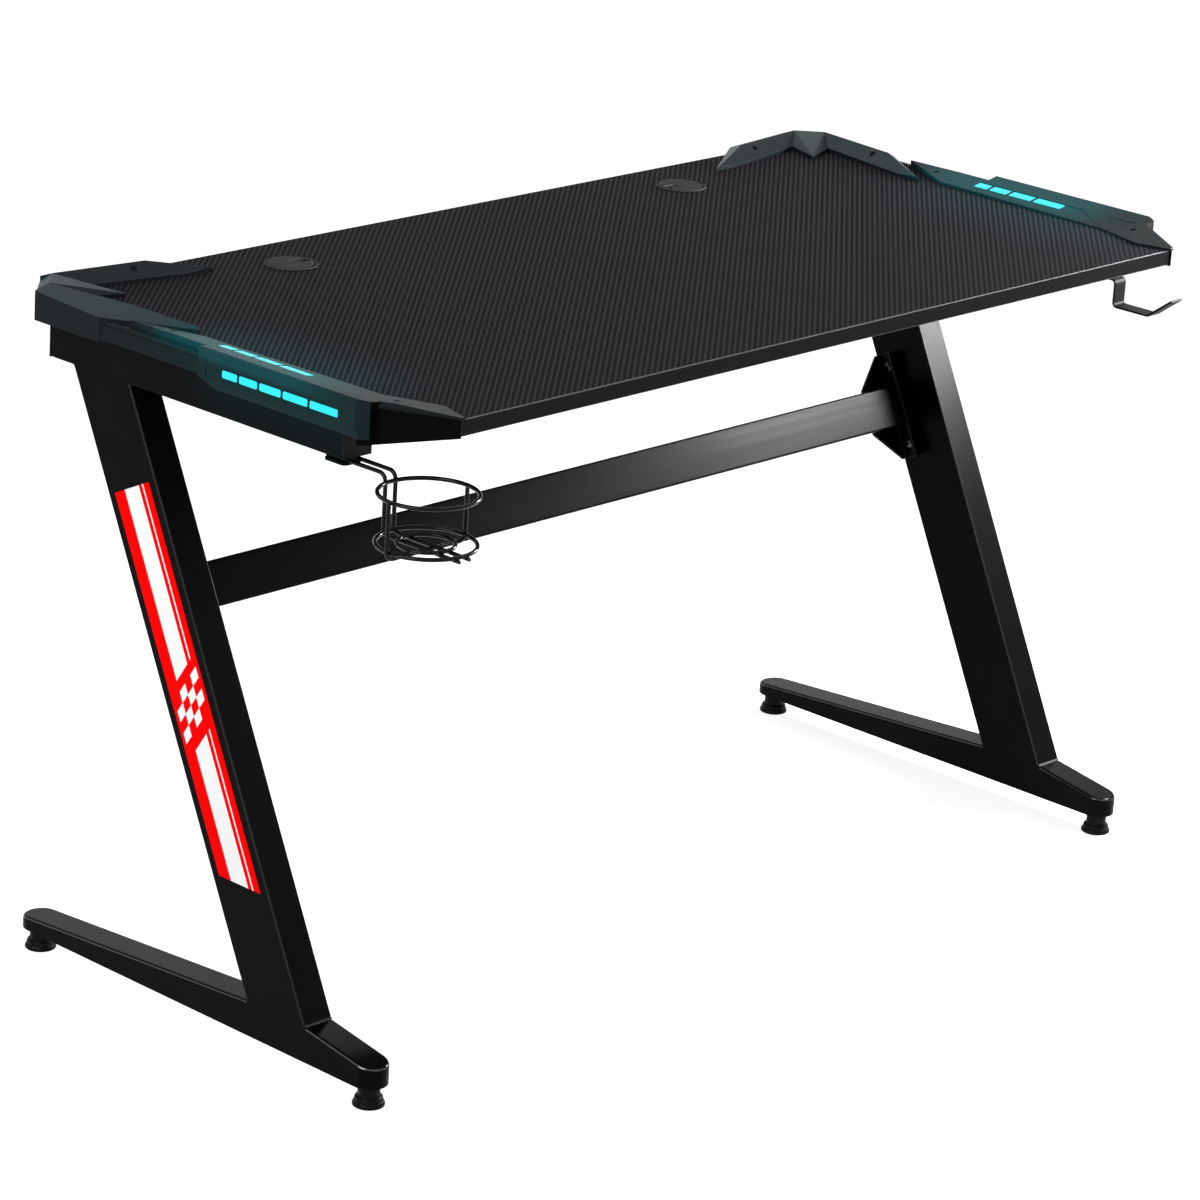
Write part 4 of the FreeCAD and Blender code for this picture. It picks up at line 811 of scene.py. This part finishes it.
def all_fasteners():
    """Screws of the trims, rails, cup holder and hook, and bolts of the crossbar's brackets."""
    signs = SIDES.values()
    trim = [spot(side * x, y, TRIM_SEAT) for side in signs for x, y in TRIM_SCREW_PLACES]
    fasteners("trim_screws", cross_screw(*TRIM_SCREW), [Matrix.Translation(p) for p in trim], screw_painted_shade)
    face_down = Matrix.Rotation(math.pi, 4, "X")
    rail = [spot(side * LEG_MIDDLE, y, RAIL_LOW) for side in signs for y in RAIL_SCREW_PLACES]
    fasteners("rail_screws", cross_screw(*RAIL_SCREW), [Matrix.Translation(p) @ face_down for p in rail])
    cup = [spot(CUP_SCREW_X, y, CUP_SEAT) for y in CUP_SCREW_PLACES]
    fasteners("cup_screws", cross_screw(*CUP_SCREW), [Matrix.Translation(p) @ face_down for p in cup])
    hook = [spot(LEG_MIDDLE, y, HOOK_SEAT) for y in HOOK_SCREW_PLACES]
    fasteners("hook_screws", cross_screw(*HOOK_SCREW), [Matrix.Translation(p) @ face_down for p in hook])
    bolts = []
    for side in signs:
        inwards = Matrix.Rotation(-side * math.pi / 2, 4, "Y")
        for along in BOLT_ALONG:
            bolts.append(Matrix.Translation(leg_spot(side * BOLT_SEAT, along, BOLT_ACROSS)) @ inwards)
    fasteners("bracket_bolts", socket_bolt(*BRACKET_BOLT), bolts)


def glide(node, x, y):
    """Levelling glide: a dished nylon pad with a grip groove, under a collar."""
    shape = turned(GLIDE_PROFILE, GLIDE_STEPS)
    bmesh.ops.translate(shape, vec=spot(x, y, 0), verts=shape.verts)
    piece = finished(node + "_turned", shape, node)
    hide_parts(node)


def weld_collar(name, node, side, y, z, up):
    """Bead of weld round a leg where it meets the foot or the rail."""
    shape = bmesh.new()
    half_x = TUBE_WIDTH / 2 - WELD_STEP
    half_y = LEG_HALF + WELD_SPREAD
    corners = [(-half_x, -half_y), (half_x, -half_y), (half_x, half_y), (-half_x, half_y)]
    base = [shape.verts.new(spot(side * LEG_MIDDLE + dx, y + dy, z)) for dx, dy in corners]
    face = shape.faces.new(base)
    raised = bmesh.ops.extrude_face_region(shape, geom=[face])
    top = [v for v in raised["geom"] if isinstance(v, bmesh.types.BMVert)]
    centre = spot(side * LEG_MIDDLE, y, z)
    taper = Matrix.Diagonal((WELD_TAPER, LEG_HALF / half_y, 1, 1))
    narrow = Matrix.Translation(centre) @ taper @ Matrix.Translation(-centre)
    bmesh.ops.transform(shape, matrix=narrow, verts=top)
    lift = Vector((0, math.tan(LEG_LEAN) * WELD_SPREAD * up, WELD_SPREAD * up)) * MM
    bmesh.ops.translate(shape, vec=lift, verts=top)
    bmesh.ops.recalc_face_normals(shape, faces=shape.faces)
    bmesh.ops.bevel(
        shape, geom=shape.edges, offset=WELD_ROUND * MM, offset_type="OFFSET", affect="EDGES", segments=3,
        profile=0.5, material=-1, clamp_overlap=True,
    )
    finished(name, shape, node, weld_coat)


def ground_weld(name, node, side, y, z, depth):
    """Weld over the rounded edges beside a leg's end, ground flush with the tube's faces."""
    half_run = LEG_HALF - LEG_ROUND
    past_run = half_run + LEG_ROUND + GROUND_PAST
    shape = bmesh.new()
    for face_x, inwards in ((HALF_WIDTH, -abs(depth)), (LEG_INNER, abs(depth))):
        corners = []
        for end in (-1, 1):
            corners.append(spot(side * face_x, y + end * half_run, z))
            corners.append(spot(side * face_x, y + end * past_run, z + depth))
            corners.append(spot(side * (face_x + inwards), y + end * past_run, z))
        bmesh.ops.convex_hull(shape, input=[shape.verts.new(corner) for corner in corners])
    bmesh.ops.recalc_face_normals(shape, faces=shape.faces)
    finished(name, shape, node, frame_coat)


for node_name, node_object in frame["nodes"].items():
    dress(node_object, SLOT_FINISH[NODE_SLOT[node_name]])

panel()
for side_name, side_sign in SIDES.items():
    leg = side_name + "leg_tube"
    softened(side_name + "top_rail", RAIL_ROUND, TUBE_EDGE, finish=frame_coat)
    softened(leg, LEG_ROUND, TUBE_EDGE)
    softened(side_name + "rail_end_caps", radius=0.8, shortest=20.0, finish=cap_pe)
    foot(side_name + "foot")
    corner_trim(side_name + "rear_corner_trim")
    side_trim(side_name + "side_trim")
    softened(side_name + "crossbar_bracket", radius=0.9, edge=bracket_painted_highlight)
    softened(side_name + "grommet_ring", radius=0.6, segments=2, finish=ring_abs, edge=black_abs_edge_painted_highlight)
    softened(side_name + "grommet_cap", radius=0.4, segments=2)
    softened(side_name + "side_diffuser", radius=0.3, shortest=1.0, segments=2)
    softened(side_name + "top_diffuser", radius=0.3, shortest=1.0, segments=2, finish=top_acrylic)
    weld_collar(side_name + "foot_weld", leg, side_sign, LEG_AT_FOOT, FOOT_TOP, up=1)
    weld_collar(side_name + "rail_weld", leg, side_sign, LEG_AT_RAIL, RAIL_LOW, up=-1)
    ground_weld(side_name + "foot_flush_weld", leg, side_sign, LEG_AT_FOOT, FOOT_TOP, depth=-FOOT_ROUND)
    ground_weld(side_name + "rail_flush_weld", leg, side_sign, LEG_AT_RAIL, RAIL_LOW, depth=RAIL_ROUND)
    for end_name, end_y in GLIDE_PLACES.items():
        glide(side_name + end_name + "_glide", side_sign * LEG_MIDDLE, end_y)
softened("crossbar", RAIL_ROUND, TUBE_EDGE, finish=bar_coat)
softened("controller_case", radius=1.2, shortest=10.0)
softened("controller_cover", radius=0.8, shortest=10.0)
smoothed("cup_holder", wire_coat)
softened("cup_plate", radius=0.5, shortest=1.0)
softened("headset_hook", radius=0.6, shortest=10.0)
all_fasteners()


def backdrop_rays(tree):
    """1 for a ray that the camera, a reflection or glass sends to the backdrop, and 0 for any other."""
    path = add(tree, "LightPath")
    direct = add(tree, "Math", {"operation": "MAXIMUM"},
                 {0: (path, "Is Camera Ray"), 1: (path, "Is Glossy Ray")})
    return add(tree, "Math", {"operation": "MAXIMUM"}, {0: direct, 1: (path, "Is Transmission Ray")})


def floor_finish():
    """Pale floor that takes the desk's shadow."""
    made, tree, _ = blank("studio_floor")
    strength = add(tree, "Math", {"operation": "MULTIPLY"}, {0: backdrop_rays(tree), 1: FLOOR_WHITE})
    matt = add(tree, "BsdfDiffuse", None, {"Color": linear("#A8A8A8")})
    white = add(tree, "Emission", None, {"Strength": strength})
    add(tree, "OutputMaterial", None, {"Surface": add(tree, "AddShader", None, {0: matt, 1: white})})
    return made


def floor():
    """Round floor, wide enough to run out of every view."""
    shape = bmesh.new()
    bmesh.ops.create_circle(shape, cap_ends=True, segments=FLOOR_STEPS, radius=FLOOR_RADIUS)
    mesh = bpy.data.meshes.new("floor")
    shape.to_mesh(mesh)
    shape.free()
    piece = bpy.data.objects.new("floor", mesh)
    bpy.context.scene.collection.objects.link(piece)
    dress(piece, floor_finish())


def room_light():
    """Even dim room light, with a white backdrop for the camera and for reflections."""
    world = bpy.data.worlds.new("studio")
    bpy.context.scene.world = world
    world.use_nodes = True
    tree = world.node_tree
    tree.nodes.clear()
    strength = add(tree, "MapRange", None,
                   {"Value": backdrop_rays(tree), "To Min": ROOM_LIGHT, "To Max": 1.0})
    back = add(tree, "Background", None, {"Color": (1, 1, 1, 1), "Strength": strength})
    add(tree, "OutputWorld", None, {"Surface": back})


def softbox(name, place, target, width, height, power):
    """Lamp behind a diffuser, turned to face its target."""
    lamp = bpy.data.lights.new(name, "AREA")
    lamp.shape = "RECTANGLE"
    lamp.size = width
    lamp.size_y = height
    lamp.energy = power
    piece = bpy.data.objects.new(name, lamp)
    bpy.context.scene.collection.objects.link(piece)
    piece.location = place
    piece.rotation_euler = (Vector(target) - Vector(place)).to_track_quat("-Z", "Y").to_euler()
    piece.visible_camera = False


def camera():
    """Camera at the photograph's angle, with its slight roll."""
    lens = bpy.data.cameras.new("camera")
    lens.sensor_width = SENSOR_WIDTH
    lens.lens = FOCAL_LENGTH
    lens.shift_x, lens.shift_y = LENS_SHIFT
    lens.clip_end = FAR_CLIP
    turn = Matrix((Vector(CAMERA_RIGHT), -Vector(CAMERA_DOWN), -Vector(CAMERA_AHEAD))).transposed().to_4x4()
    piece = bpy.data.objects.new("camera", lens)
    piece.matrix_world = Matrix.Translation(Vector(CAMERA_PLACE) * MM) @ turn
    bpy.context.scene.collection.objects.link(piece)
    bpy.context.scene.camera = piece


floor()
room_light()
for box_name, box in SOFTBOXES.items():
    softbox(box_name, *box)
camera()
bpy.context.scene.view_settings.view_transform = "Standard"
